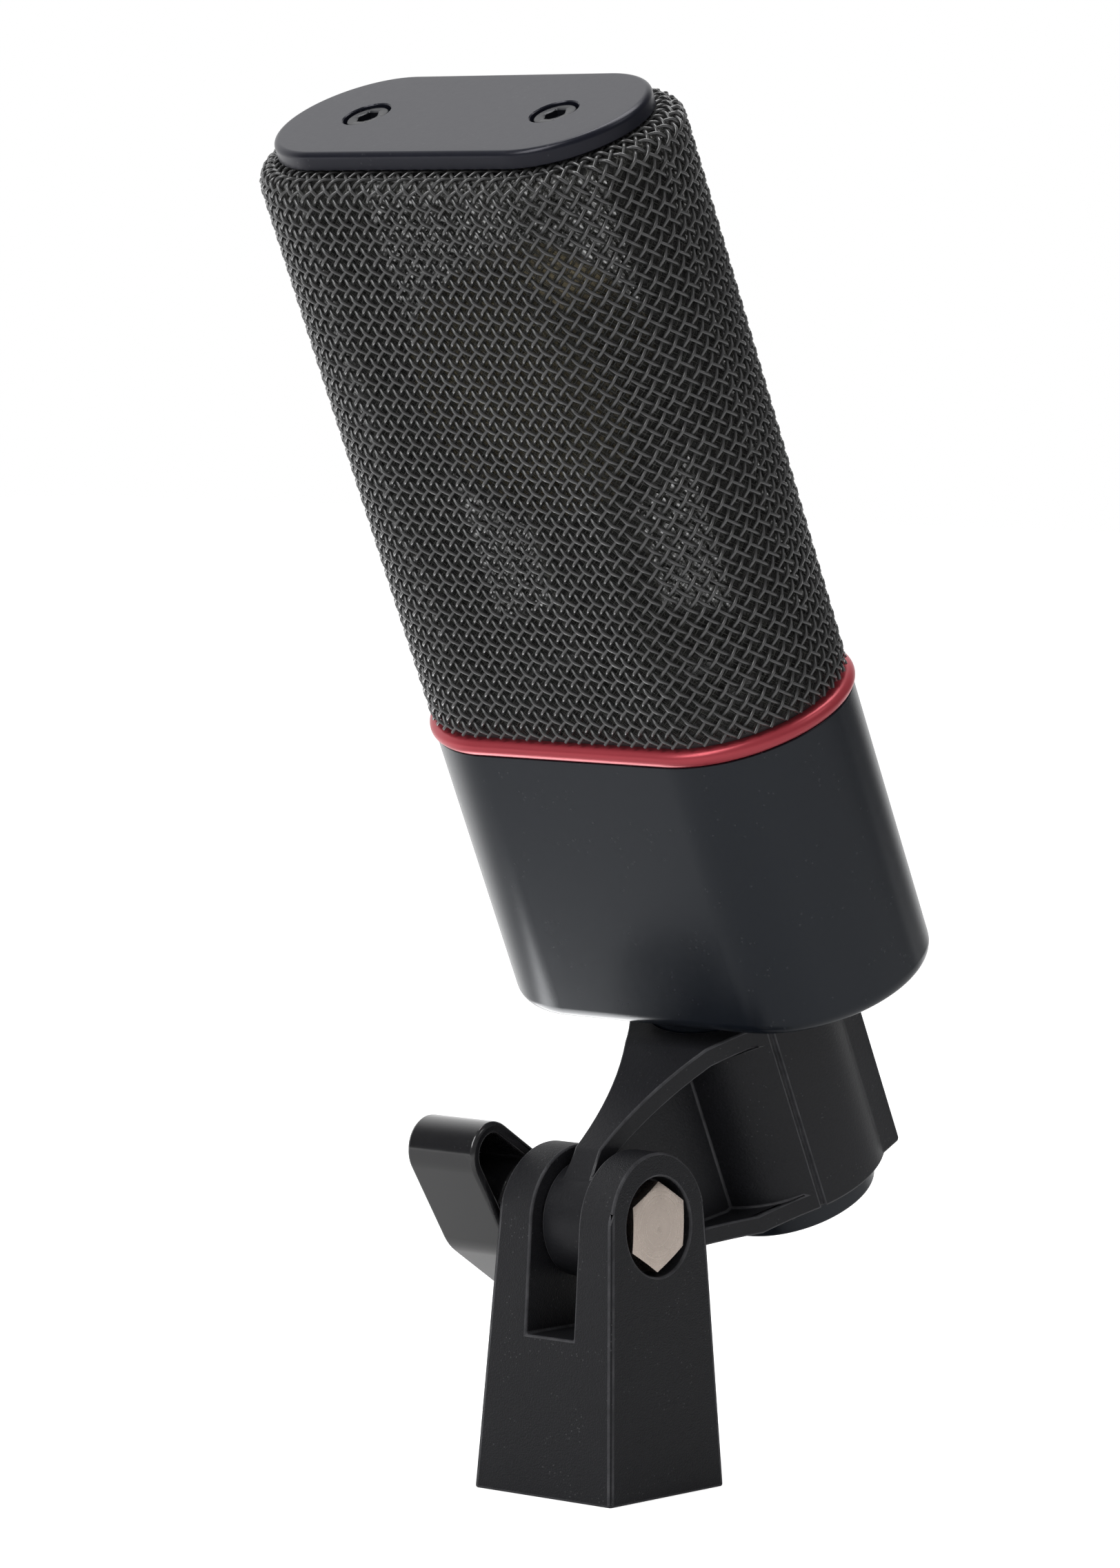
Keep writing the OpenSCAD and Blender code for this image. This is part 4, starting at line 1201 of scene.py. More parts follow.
@dataclass
class WeaveRecipe:
    """The tree that weaves wires at 45 degrees around a stadium basket and over its shoulder."""

    recipe: NodeRecipe = field(init=False)

    def __post_init__(self) -> None:
        """Builds the tree."""
        sizes = ("Straight Run", "End Radius", "Wall Height", "Shoulder Radius")
        sizes += ("Rim Reach", "Wire Radius", "Crimp", "Lean")
        counts = ("Wires Around", "First Wire", "Wires Here", "Steps", "Sides")
        kinds = dict.fromkeys(sizes, float) | dict.fromkeys(counts, int)
        kinds["Wire Finish"] = "material"
        self.recipe = recipe = NodeRecipe("woven_basket", kinds)
        line = recipe.node("GeometryNodeCurvePrimitiveLine", End=(0.0, 0.0, 1.0))
        count = recipe.value("Steps") + 1.0
        path = recipe.node("GeometryNodeResampleCurve", Curve=line.outputs[0], Count=count)
        spots = recipe.node("GeometryNodePoints", Count=recipe.value("Wires Here"))
        many = recipe.node(
            "GeometryNodeInstanceOnPoints", Points=spots.outputs[0], Instance=path.outputs[0]
        )
        keep = recipe.node("GeometryNodeCaptureAttribute", Geometry=many.outputs[0])
        keep.domain = "INSTANCE"
        keep.capture_items.new("FLOAT", "Wire")
        recipe.tree.links.new(recipe.node("GeometryNodeInputIndex").outputs[0], keep.inputs["Wire"])
        real = recipe.node("GeometryNodeRealizeInstances", Geometry=keep.outputs["Geometry"])
        wire = Field(recipe.tree, keep.outputs["Wire"]) + recipe.value("First Wire")
        climb = Field(recipe.tree, recipe.node("GeometryNodeSplineParameter").outputs["Factor"])
        place = self._place(wire, climb)
        bent = recipe.node("GeometryNodeSetPosition", Geometry=real.outputs[0], Position=place)
        section = recipe.node(
            "GeometryNodeCurvePrimitiveCircle",
            Resolution=recipe.value("Sides"), Radius=recipe.value("Wire Radius"),
        )
        tube = recipe.node(
            "GeometryNodeCurveToMesh",
            Curve=bent.outputs[0], Profile_Curve=section.outputs[0], Fill_Caps=True,
        )
        smooth = recipe.node("GeometryNodeSetShadeSmooth", Geometry=tube.outputs[0])
        recipe.finish(smooth.outputs[0], "Wire Finish")

    def _place(self, wire: Field, climb: Field) -> bpy.types.NodeSocket:
        """Works out where each point of each wire lies.

        Args:
            wire: The wire's number around the basket.
            climb: How far the point is along its wire, from 0 to 1.

        Returns:
            The point's position.
        """
        value = self.recipe.value
        names = ("Straight Run", "End Radius", "Wall Height", "Shoulder Radius", "Lean")
        run, radius, wall, shoulder, lean = (value(name) for name in names)
        half = run + radius * math.pi
        pitch = half * 2.0 / value("Wires Around")
        quarter = shoulder * (math.pi / 2)
        up = climb * (wall + quarter + value("Rim Reach"))
        around = (wire * pitch + lean * up).wrapped(half * 2.0)
        # over the shoulder and onto the rim
        turn = ((up - wall) / shoulder).most(0.0).least(math.pi / 2)
        inset = shoulder * (1.0 - turn.cos()) + (up - wall - quarter).most(0.0)
        lift = lean * value("Crimp") * (up / pitch * (2 * math.pi)).cos()
        out = radius - inset + lift * turn.cos()
        height = up.least(wall) + shoulder * turn.sin() + lift * turn.sin()
        # around the stadium, one half at a time
        second = (around / half).floor()
        side = 1.0 - second * 2.0
        along = around - second * half
        bend = (along - run).most(0.0) / radius
        x = (along.least(run) - run * 0.5 + out * bend.sin()) * side
        y = out * bend.cos() * side * -1.0
        return self.recipe.node("ShaderNodeCombineXYZ", X=x, Y=y, Z=height).outputs[0]


@dataclass
class RepeatRecipe:
    """The tree that sets copies of a template on the base mesh's points."""

    recipe: NodeRecipe = field(init=False)

    def __post_init__(self) -> None:
        """Builds the tree."""
        kinds = {"Template": "object", "Size": float, "Fitting Finish": "material"}
        self.recipe = recipe = NodeRecipe("repeated_fitting", kinds)
        template = recipe.node("GeometryNodeObjectInfo", Object=recipe.given.outputs["Template"])
        spots = recipe.node("GeometryNodeMeshToPoints", Mesh=recipe.given.outputs["Geometry"])
        size = recipe.node("ShaderNodeCombineXYZ", **dict.fromkeys("XYZ", recipe.value("Size")))
        many = recipe.node(
            "GeometryNodeInstanceOnPoints",
            Points=spots.outputs[0], Instance=template.outputs["Geometry"], Scale=size.outputs[0],
        )
        recipe.finish(many.outputs[0], "Fitting Finish")

    def set_out(
        self,
        name: str,
        template: bpy.types.Object,
        spots: Sequence[Vector],
        place: Matrix,
        material: bpy.types.Material,
    ) -> bpy.types.Object:
        """Repeats a template.

        Args:
            name: The new piece's name.
            template: The thing to repeat, drawn at the origin. It is deleted.
            spots: Where each copy goes, in the frame of place.
            place: The matrix from that frame to the row's frame.
            material: The finish of the copies.

        Returns:
            The new piece.
        """
        base = bpy.data.meshes.new(name)
        base.from_pydata([tuple(spot) for spot in spots], [], [])
        piece = self.recipe.run(
            name, base, place, Template=template, Size=1.0, Fitting_Finish=material
        )
        bpy.data.objects.remove(template)
        return piece


# ---------------------------------------------------------------- the stand clip


@dataclass
class Assembly:
    """A sub-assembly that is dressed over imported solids."""

    nodes: dict[str, bpy.types.Object]
    wardrobe: Wardrobe

    def mould(self, node: str, name: str, body: Body, slot: str, edge: float, steps: int = 3) -> None:
        """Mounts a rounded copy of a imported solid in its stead.

        Args:
            node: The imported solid.
            name: The new piece's name.
            body: The body it rides on.
            slot: The record's material slot.
            edge: The width of the rounding.
            steps: The number of facets across a rounded edge.
        """
        mount(rounded_copy(self.nodes[node], name, edge, steps), body, slot, self.wardrobe, node)


@dataclass
class Stand(Assembly):
    """The tapered post with its hinge bolt and the thread adapter in its foot."""

    post_edge: float = 0.32 * MM
    bush_edge: float = 0.25 * MM
    bolt_flats: float = 10.0 * MM
    bolt_radius: float = 3.0 * MM
    bolt_tip: float = 0.5 * MM
    head_height: float = 3.4 * MM
    face_share: float = 0.96
    chamfer: float = math.radians(9)
    dimple: tuple[float, float, float] = (0.7 * MM, 0.3 * MM, 0.05 * MM)
    facets: int = 96

    def build(self, hinge: Matrix) -> None:
        """Builds the post, the adapter and the bolt.

        Args:
            hinge: The frame of the hinge bolt, with its Z along the row's X.
        """
        self.mould("post", "post_body", Body.STAND, "post_plastic", self.post_edge)
        self.mould("thread_adapter", "thread_bush", Body.STAND, "brass", self.bush_edge)
        mount(self._bolt(hinge), Body.STAND, "bolt_steel", self.wardrobe, "hinge_bolt")

    def _bolt(self, hinge: Matrix) -> bpy.types.Object:
        """Turns the hex bolt, whose head has a turned chamfer that cuts its corners back.

        Args:
            hinge: The frame of the hinge bolt.

        Returns:
            The new piece.
        """
        low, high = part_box("hinge_bolt")
        top, end, base = high.x, low.x, high.x - self.head_height
        outline, face = hexagon(self.bolt_flats), self.bolt_flats / 2 * self.face_share
        rim = polar_ring(outline, top, self.facets)
        for point in rim:
            point.z -= max(0.0, point.xy.length - face) * math.tan(self.chamfer)
        wide, narrow, sunk = self.dimple
        rings = turned_rings([(narrow, top - sunk), (wide, top), (face, top)], self.facets)
        rings += [rim, polar_ring(outline, base, self.facets)]
        shank = [(self.bolt_radius, base), (self.bolt_radius, end + self.bolt_tip)]
        rings += turned_rings([*shank, (self.bolt_radius - self.bolt_tip, end)], self.facets)
        return even_normals(object_from(loft(rings, closed=False), "hex_bolt", hinge), 24.0)


@dataclass
class Clamp(Assembly):
    """The washer, the wing knob and the nut inside it."""

    washer_edge: float = 0.2 * MM
    knob_edge: float = 0.55 * MM
    nut_edge: float = 0.25 * MM

    def build(self) -> None:
        """Builds the three pieces."""
        self.mould("clamp_washer", "washer", Body.CLAMP, "washer_steel", self.washer_edge)
        self.mould("wing_knob", "knob_wings", Body.KNOB, "knob_plastic", self.knob_edge, 4)
        self.mould("knob_nut", "knob_insert", Body.KNOB, "brass", self.nut_edge)


@dataclass
class Holder(Assembly):
    """The tilting clip: knuckle, neck, split sleeve and lips in one moulding."""

    edge: float = 0.28 * MM

    def build(self) -> None:
        """Builds the moulding."""
        self.mould("clip", "clip_body", Body.CLIP, "clip_plastic", self.edge)


# ---------------------------------------------------------------- the microphone


@dataclass
class Housing(Assembly):
    """The painted body, the trim ring and the connector barrel."""

    place: Matrix
    outline: Outline = Outline(61.0 * MM, 30.8 * MM)
    bottom: float = 16.5 * MM
    top: float = 55.6 * MM
    wall: float = 1.6 * MM
    floor: float = 2.0 * MM
    fillet: float = 2.0 * MM
    inner_fillet: float = 0.4 * MM
    barrel_hole: float = 11.25 * MM
    barrel_edge: float = 0.4 * MM
    pin_edge: float = 0.2 * MM
    lip: float = 0.18 * MM
    ring_height: float = 2.1 * MM
    ring_proud: float = 0.5 * MM
    ring_band: float = 2.2 * MM
    window: tuple[float, float] = (4.6 * MM, 2.4 * MM)
    window_corner: float = 0.35 * MM
    window_height: float = 37.5 * MM
    switch_gap: float = 14.0 * MM

    def build(self) -> None:
        """Builds the shell, the ring, the barrel and what is in its mouth."""
        mic = Body.MICROPHONE
        mount(self._shell(), mic, "body_paint", self.wardrobe, "body_shell")
        mount(self._ring(), mic, "ring_red", self.wardrobe, "trim_ring")
        self.mould("connector_barrel", "barrel", mic, "body_paint", self.barrel_edge, 4)
        self.mould("connector_insulator", "pin_carrier", mic, "insulator_plastic", self.pin_edge)
        self.mould("connector_pins", "pins", mic, "pin_metal", self.pin_edge)

    def _shell(self) -> bpy.types.Object:
        """Lofts the open-topped body and cuts the windows for its two slide switches.

        Returns:
            The new piece.
        """
        ring, inside = self.outline.ring, self.bottom + self.floor
        mouth = arc_profile((self.lip, self.top - self.lip), self.lip, 90, 180, 3)
        foot = arc_profile((self.fillet, self.bottom + self.fillet), self.fillet, 180, 270, 10)
        rings = [ring(self.wall, self.top), *(ring(*spot) for spot in (mouth + foot))]
        rings += [self.outline.round_ring(self.barrel_hole, h) for h in (self.bottom, inside)]
        rings += [ring(self.wall + self.inner_fillet, inside)]
        rings += [ring(self.wall, inside + self.inner_fillet)]
        shell = object_from(loft(rings, closed=True), "body", self.place)
        return even_normals(cut(shell, [self._window(side) for side in (-1, 1)]), 32.0)

    def _window(self, side: int) -> bpy.types.Object:
        """Makes the block that cuts one switch's window, with its corners rounded.

        Args:
            side: The side that the opening is on, -1 or 1.

        Returns:
            The block that cuts the opening.
        """
        width, height = self.window
        spot = (side * self.switch_gap / 2, self.outline.depth / 2, self.window_height)
        block = bmesh.new()
        bmesh.ops.create_cube(block, size=1.0)
        bmesh.ops.scale(block, vec=(width, 3 * self.wall, height), verts=block.verts)
        bmesh.ops.translate(block, vec=spot, verts=block.verts)
        upright = Vector((0.0, 1.0, 0.0))
        ways = {e: (e.verts[0].co - e.verts[1].co).normalized() for e in block.edges}
        across = [e for e, way in ways.items() if abs(way @ upright) > 0.9]
        bmesh.ops.bevel(
            block, geom=across, offset=self.window_corner, segments=4, profile=0.5, affect="EDGES"
        )
        return object_from(block, f"window_{side}", self.place)

    def _ring(self) -> bpy.types.Object:
        """Lofts the trim ring, whose outer face is a round bead.

        Returns:
            The new piece.
        """
        wider = 2 * self.ring_proud
        outline = Outline(self.outline.width + wider, self.outline.depth + wider)
        bead, inner = self.ring_height / 2, self.ring_proud + self.ring_band
        round_side = arc_profile((bead, self.top + bead), bead, 90, 270, 16)
        rings = [outline.ring(*spot) for spot in round_side]
        rings += [outline.ring(inner, self.top), outline.ring(inner, self.top + self.ring_height)]
        return even_normals(object_from(loft(rings, closed=True), "red_ring", self.place))


@dataclass
class Basket:
    """The woven wire basket over its fine gauze."""

    wardrobe: Wardrobe
    place: Matrix
    width: float = 61.0 * MM
    depth: float = 30.8 * MM
    bottom: float = 58.3 * MM
    height: float = 77.0 * MM
    shoulder: float = 2.6 * MM
    wire: float = 0.45 * MM
    rim_reach: float = 2.5 * MM
    wires_around: int = 72
    steps: int = 288
    sides: int = 6

    def build(self) -> None:
        """Weaves the basket in four pieces, half a family of wires in each."""
        recipe = WeaveRecipe().recipe
        base = bpy.data.meshes.new("weave_base")
        stands = self.place @ Matrix.Translation((0.0, 0.0, self.bottom))
        here = self.wires_around // 2
        for lean in Lean:
            for part in (0, 1):
                piece = recipe.run(
                    f"weave_{lean.name.lower()}_{part + 1}",
                    base,
                    stands,
                    Straight_Run=self.width - self.depth,
                    End_Radius=self.depth / 2 - self.wire,
                    Wall_Height=self.height - self.shoulder,
                    Shoulder_Radius=self.shoulder - self.wire,
                    Rim_Reach=self.rim_reach,
                    Wire_Radius=self.wire / 2,
                    Crimp=self.wire / 2,
                    Lean=lean.value,
                    Wires_Around=self.wires_around,
                    First_Wire=part * here,
                    Wires_Here=here,
                    Steps=self.steps,
                    Sides=self.sides,
                    Wire_Finish=self.wardrobe.material("mesh_wire"),
                )
                mount(piece, Body.MICROPHONE, "mesh_wire", self.wardrobe, "mesh_outer")


@dataclass
class Lid:
    """The top cap and its two sunk socket screws."""

    wardrobe: Wardrobe
    repeat: RepeatRecipe
    place: Matrix
    outline: Outline = Outline(54.8 * MM, 23.5 * MM)
    foot: float = 135.3 * MM
    base: float = 135.5 * MM
    height: float = 2.3 * MM
    foot_inset: float = 1.5 * MM
    under_edge: float = 0.15 * MM
    edge: float = 0.8 * MM
    crown_inset: float = 2.2 * MM
    screw_x: float = 15.15 * MM
    recess: float = 3.1 * MM
    recess_floor: float = 0.9 * MM
    recess_break: float = 0.14 * MM
    head: float = 2.75 * MM
    head_height: float = 1.1 * MM
    head_edge: float = 0.25 * MM
    shank: float = 1.5 * MM
    shank_play: float = 0.1 * MM
    shank_length: float = 5.0 * MM
    shank_tip: float = 0.3 * MM
    socket_flats: float = 2.6 * MM
    socket_depth: float = 0.8 * MM
    socket_break: float = 0.12 * MM
    socket_point: tuple[float, float] = (0.1 * MM, 0.15 * MM)

    def build(self) -> None:
        """Builds the cap and its screws."""
        mount(self._cap(), Body.MICROPHONE, "cap_paint", self.wardrobe, "top_cap")
        seat, finish = self.base + self.recess_floor, "cap_screw_black"
        spots = [Vector((side * self.screw_x, 0.0, seat)) for side in (-1, 1)]
        material = self.wardrobe.material(finish)
        screws = self.repeat.set_out("lid_screws", self._screw(), spots, self.place, material)
        mount(screws, Body.MICROPHONE, finish, self.wardrobe, "cap_screws")

    def _cap(self) -> bpy.types.Object:
        """Lofts the cap with its rounded edge and cuts the recesses for its screws.

        Returns:
            The new piece.
        """
        top = self.base + self.height
        spots = [(self.foot_inset, self.foot), (self.foot_inset, self.base)]
        spots += [(self.under_edge, self.base), (0.0, self.base + self.under_edge)]
        spots += arc_profile((self.edge, top - self.edge), self.edge, 180, 90, 10)
        spots += [(self.crown_inset, top)]
        rings = [self.outline.ring(*spot) for spot in spots]
        cap = object_from(loft(rings, closed=False), "cap", self.place)
        return even_normals(cut(cap, [self._drill(side) for side in (-1, 1)]), 32.0)

    def _drill(self, side: int) -> bpy.types.Object:
        """Makes the stepped drill that cuts one screw's recess, with a broken edge at its mouth.

        Args:
            side: The side that the hole is on, -1 or 1.

        Returns:
            The solid that cuts the hole.
        """
        floor, top, past = self.base + self.recess_floor, self.base + self.height, 1 * MM
        hole, mouth = self.shank + self.shank_play, self.recess + self.recess_break
        profile = [(hole, self.foot - past), (hole, floor), (self.recess, floor)]
        profile += [(self.recess, top - self.recess_break), (mouth, top), (mouth + past, top + past)]
        drill = loft(turned_rings(profile, 72), closed=False)
        bmesh.ops.translate(drill, vec=(side * self.screw_x, 0.0, 0.0), verts=drill.verts)
        return object_from(drill, f"drill_{side}", self.place)

    def _screw(self) -> bpy.types.Object:
        """Turns one socket screw with its head resting on z = 0.

        Returns:
            The screw, standing at the origin, for the recipe to repeat.
        """
        top, count, soft = self.head_height, 48, self.head_edge
        floor, socket = top - self.socket_depth, hexagon(self.socket_flats)
        point, deeper = self.socket_point
        rings = turned_rings([(point, floor - deeper)], count)
        rings += [polar_ring(socket, height, count) for height in (floor, top - self.socket_break)]
        outside = [(self.socket_flats / 2 * 1.22, top)]
        outside += arc_profile((self.head - soft, top - soft), soft, 90, 0, 5)
        outside += [(self.head, 0.0), (self.shank, 0.0)]
        outside += [(self.shank, self.shank_tip - self.shank_length)]
        outside += [(self.shank - self.shank_tip, -self.shank_length)]
        screw = loft(rings + turned_rings(outside, count), closed=False)
        return even_normals(object_from(screw, "screw_template", Matrix.Identity(4)), 32.0)


@dataclass
class Switches(Assembly):
    """The two slide switches in the rear of the body, each with ribs across its tip."""

    repeat: RepeatRecipe
    place: Matrix
    tip_edge: float = 0.2 * MM
    rib: float = 0.16 * MM
    ribs: int = 3
    rib_pitch: float = 0.45 * MM
    rib_sink: float = 0.08 * MM
    rib_margin: float = 0.5 * MM

    def build(self) -> None:
        """Builds the two sliders."""
        slot = "slider_plastic"
        for body, node in ((Body.LOW_CUT, "low_cut_slider"), (Body.PAD, "pad_slider")):
            tip = rounded_copy(self.nodes[node], f"{body.value}_tip", self.tip_edge)
            corners = [self.place.inverted() @ v.co for v in self.nodes[node].data.vertices]
            low, high = np.min(corners, 0), np.max(corners, 0)
            middle = (low + high) / 2
            offsets = [(i - (self.ribs - 1) / 2) * self.rib_pitch for i in range(self.ribs)]
            rows = [Vector((middle[0] + off, high[1] - self.rib_sink, middle[2])) for off in offsets]
            rib = self._rib(high[2] - low[2] - self.rib_margin)
            material = self.wardrobe.material(slot)
            ribs = self.repeat.set_out(f"{body.value}_ribs", rib, rows, self.place, material)
            mount(join([tip, ribs], f"{body.value}_switch"), body, slot, self.wardrobe, node)

    def _rib(self, length: float) -> bpy.types.Object:
        """Makes one small rounded rib that stands across the slider's tip.

        Args:
            length: The rib's length.

        Returns:
            The rib at the origin, for the recipe to repeat.
        """
        stations = (-0.98, -0.9, 0.9, 0.98)
        profile = [(self.rib / 2 * math.cos(math.asin(t)), t * length / 2) for t in stations]
        shape = loft(turned_rings(profile, 10), closed=False)
        return object_from(shape, "rib_template", Matrix.Identity(4))


# ---------------------------------------------------------------- the picture


@dataclass
class PictureCamera:
    """The photograph's view, kept as the named values that were fitted to it."""

    azimuth: float = math.radians(40.13)
    elevation: float = math.radians(4.11)
    roll: float = math.radians(0.56)
    distance: float = 858.4 * MM
    off_right: float = -5.0 * MM
    off_up: float = 89.44 * MM
    lens: float = 154.83
    sensor_width: float = 36.0
    shift_x: float = 0.0
    shift_y: float = 0.0

    def axes(self) -> Matrix:
        """Returns the camera's right, up and back axes as the columns of a matrix.

        Returns:
            The matrix from the camera to the row.
        """
        sa, ca = math.sin(self.azimuth), math.cos(self.azimuth)
        se, ce = math.sin(self.elevation), math.cos(self.elevation)
        back, right = Vector((sa * ce, -ca * ce, se)), Vector((ca, sa, 0.0))
        up = back.cross(right)
        cr, sr = math.cos(self.roll), math.sin(self.roll)
        return Matrix((cr * right + sr * up, cr * up - sr * right, back)).transposed()

    def place(self) -> Vector:
        """Returns where the camera stands."""
        return self.axes() @ Vector((self.off_right, self.off_up, self.distance))

    def build(self) -> None:
        """Makes the camera and has the scene use it."""
        data = bpy.data.cameras.new("picture_camera")
        data.sensor_fit, data.sensor_width, data.lens = "AUTO", self.sensor_width, self.lens
        data.shift_x, data.shift_y = self.shift_x, self.shift_y
        data.clip_start, data.clip_end = 0.05, 20.0
        camera = bpy.data.objects.new("picture_camera", data)
        camera.matrix_world = Matrix.Translation(self.place()) @ self.axes().to_4x4()
        bpy.context.scene.collection.objects.link(camera)
        bpy.context.scene.camera = camera


@dataclass(frozen=True)
class Feature:
    """A thing on a finished piece that has an image point of its own.

    Attributes:
        point: Its image point.
        piece: The piece that it is on.
        anchor: Where it is in the row's frame, or None where it is the piece's outermost spot.
        ring: The radius of the ring of vertices around the anchor whose middle is taken, or 0
            for the nearest vertex.
        towards: The way in the picture, right and down, in which the outermost spot lies.
    """

    point: str
    piece: str
    anchor: Vector | None = None
    ring: float = 0.0
    towards: tuple[float, float] = (0.0, 0.0)


@dataclass
class Picture:
    """The photograph's frame with its named points, and what shows at them."""

    camera: PictureCamera
    nearest: float = 0.6
    stride: float = 0.002
    strides: int = 300
    ring_play: float = 0.06 * MM
    width: int = 1120
    height: int = 1568
    points: dict[str, tuple[float, float]] = field(
        default_factory=lambda: {
            "object_left": (256.5, 178.3),
            "object_right": (930.9, 955.0),
            "object_top": (420.0, 71.0),
            "object_bottom": (610.9, 1509.4),
            "foot_left": (477.2, 1486.5),
            "foot_front": (610.9, 1509.4),
            "foot_right": (720.1, 1486.0),
            "bolt_head": (657.3, 1226.6),
            "slot_floor": (529.1, 1333.9),
            "lid_screw_left": (366.3, 114.2),
            "lid_screw_right": (553.6, 110.9),
            "ring_left": (431.0, 728.0),
            "ring_right": (854.7, 669.0),
            "body_right": (929.0, 940.7),
            "knob_wing": (408.2, 1151.9),
            "lip_corner": (897.2, 1139.5),
        }
    )

    def meet(self, name: str, carriers: Sequence[bpy.types.Object]) -> tuple[Vector, Vector]:
        """Finds the place on a surface that shows at a named point.

        Args:
            name: The image point's name.
            carriers: The finished pieces whose surface is met.

        Returns:
            The place and the surface's normal there. Where the ray misses, it is the place
            nearest the ray.
        """
        x, y = self.points[name]
        longest = max(self.width, self.height)
        aim = Vector(
            (
                x - self.width / 2 + self.camera.shift_x * longest,
                self.height / 2 - y + self.camera.shift_y * longest,
                -longest * self.camera.lens / self.camera.sensor_width,
            )
        )
        start, way = self.camera.place(), (self.camera.axes() @ aim).normalized()
        shape = bmesh.new()
        for carrier in carriers:
            shape.from_mesh(carrier.data)
        tree = BVHTree.FromBMesh(shape)
        shape.free()
        spot, normal, _, _ = tree.ray_cast(start, way)
        if spot is None:
            along = [way * (self.nearest + self.stride * step) for step in range(self.strides)]
            near = [tree.find_nearest(start + reach) for reach in along]
            spot, normal, _, _ = min(near, key=lambda hit: hit[3])
        return spot, normal

    def report(self, features: Sequence[Feature]) -> dict[str, dict[str, float | str]]:
        """Measures how far each thing shows from its point.

        Args:
            features: The things with points of their own.

        Returns:
            For each point, the offsets in x and y, in the points' pixels.
        """
        rows: dict[str, dict[str, float | str]] = {}
        places = {o.name: self._places(o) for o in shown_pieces() if o.type == "MESH"}
        shown = {name: self._shown(spots) for name, spots in places.items()}
        everything = np.vstack(list(shown.values()))
        extents = {
            "object_left": (0, "min"),
            "object_right": (0, "max"),
            "object_top": (1, "min"),
            "object_bottom": (1, "max"),
        }
        for name, (axis, end) in extents.items():
            edge = getattr(everything[:, axis], end)()
            rows[name] = {("dx", "dy")[axis]: round(float(edge) - self.points[name][axis], 2)}
        for feature in features:
            spots = shown[feature.piece]
            if feature.anchor is None:
                spot = spots[np.argmax(spots @ np.array(feature.towards))]
            else:
                away = np.linalg.norm(places[feature.piece] - np.array(feature.anchor), axis=1)
                on_ring = np.abs(away - feature.ring) < self.ring_play
                chosen = spots[on_ring] if feature.ring else spots[[np.argmin(away)]]
                spot = (chosen.min(0) + chosen.max(0)) / 2
            met, _ = self.meet(feature.point, [bpy.data.objects[feature.piece]])
            rows[feature.point] = {
                "dx": round(float(spot[0]) - self.points[feature.point][0], 2),
                "dy": round(float(spot[1]) - self.points[feature.point][1], 2),
                "on": feature.piece,
                "met_mm": [round(value / MM, 2) for value in met],
            }
        return rows

    @staticmethod
    def _places(piece: bpy.types.Object) -> np.ndarray:
        """Returns where every vertex of a piece is.

        Args:
            piece: The piece.

        Returns:
            One row for each vertex.
        """
        places = np.empty(len(piece.data.vertices) * 3)
        piece.data.vertices.foreach_get("co", places)
        return places.reshape(-1, 3)

    def _shown(self, places: np.ndarray) -> np.ndarray:
        """Returns where places of the row's frame show in the picture.

        Args:
            places: One row for each place.

        Returns:
            Each place's x and y, in the points' pixels.
        """
        local = (places - np.array(self.camera.place())) @ np.array(self.camera.axes())
        longest = max(self.width, self.height)
        scale = longest * self.camera.lens / self.camera.sensor_width / -local[:, 2]
        across = self.width / 2 - self.camera.shift_x * longest + local[:, 0] * scale
        down = self.height / 2 + self.camera.shift_y * longest - local[:, 1] * scale
        return np.column_stack((across, down))


@dataclass(frozen=True)
class Lamp:
    """A soft area lamp, placed from the object's middle along the picture's right, up and back.

    Attributes:
        name: The lamp's name.
        right: Its place to the right.
        up: Its place upwards.
        back: Its place towards the camera.
        size: Its width and height.
        power: Its power in watts.
        turn: How far it is turned about its own axis.
        flat: Whether it lies on the floor and shines straight up, out of the camera's sight.
        spared: A piece that is flagged off from the lamp, or none.
    """

    name: str
    right: float
    up: float
    back: float
    size: tuple[float, float]
    power: float
    turn: float = 0.0
    flat: bool = False
    spared: str = ""

    def build(self, camera: PictureCamera, centre: Vector) -> None:
        """Hangs or lays the lamp.

        Args:
            camera: The camera, whose axes give the lamp's place once, when it is hung.
            centre: What a hanging lamp looks at.
        """
        data = bpy.data.lights.new(self.name, "AREA")
        data.shape, data.size, data.size_y = "RECTANGLE", *self.size
        data.energy = self.power
        lamp = bpy.data.objects.new(self.name, data)
        if self.flat:
            across = Vector((math.cos(camera.azimuth), math.sin(camera.azimuth), 0.0))
            forward = across.cross(Vector((0.0, 0.0, 1.0)))
            spot = across * self.right + forward * self.back + Vector((0.0, 0.0, 2 * MM))
            place = Matrix.Rotation(camera.azimuth + self.turn, 4, "Z")
            place @= Matrix.Rotation(math.pi, 4, "X")
            lamp.visible_camera = False
        else:
            spot = centre + camera.axes() @ Vector((self.right, self.up, self.back))
            place = (spot - centre).to_track_quat("Z", "Y").to_matrix().to_4x4()
            place @= Matrix.Rotation(self.turn, 4, "Z")
        lamp.matrix_world = Matrix.Translation(spot) @ place
        bpy.context.scene.collection.objects.link(lamp)
        if self.spared:
            flag = bpy.data.collections.new(f"{self.name}_flag")
            flag.objects.link(bpy.data.objects[self.spared])
            flag.collection_objects[0].light_linking.link_state = "EXCLUDE"
            lamp.light_linking.receiver_collection = flag


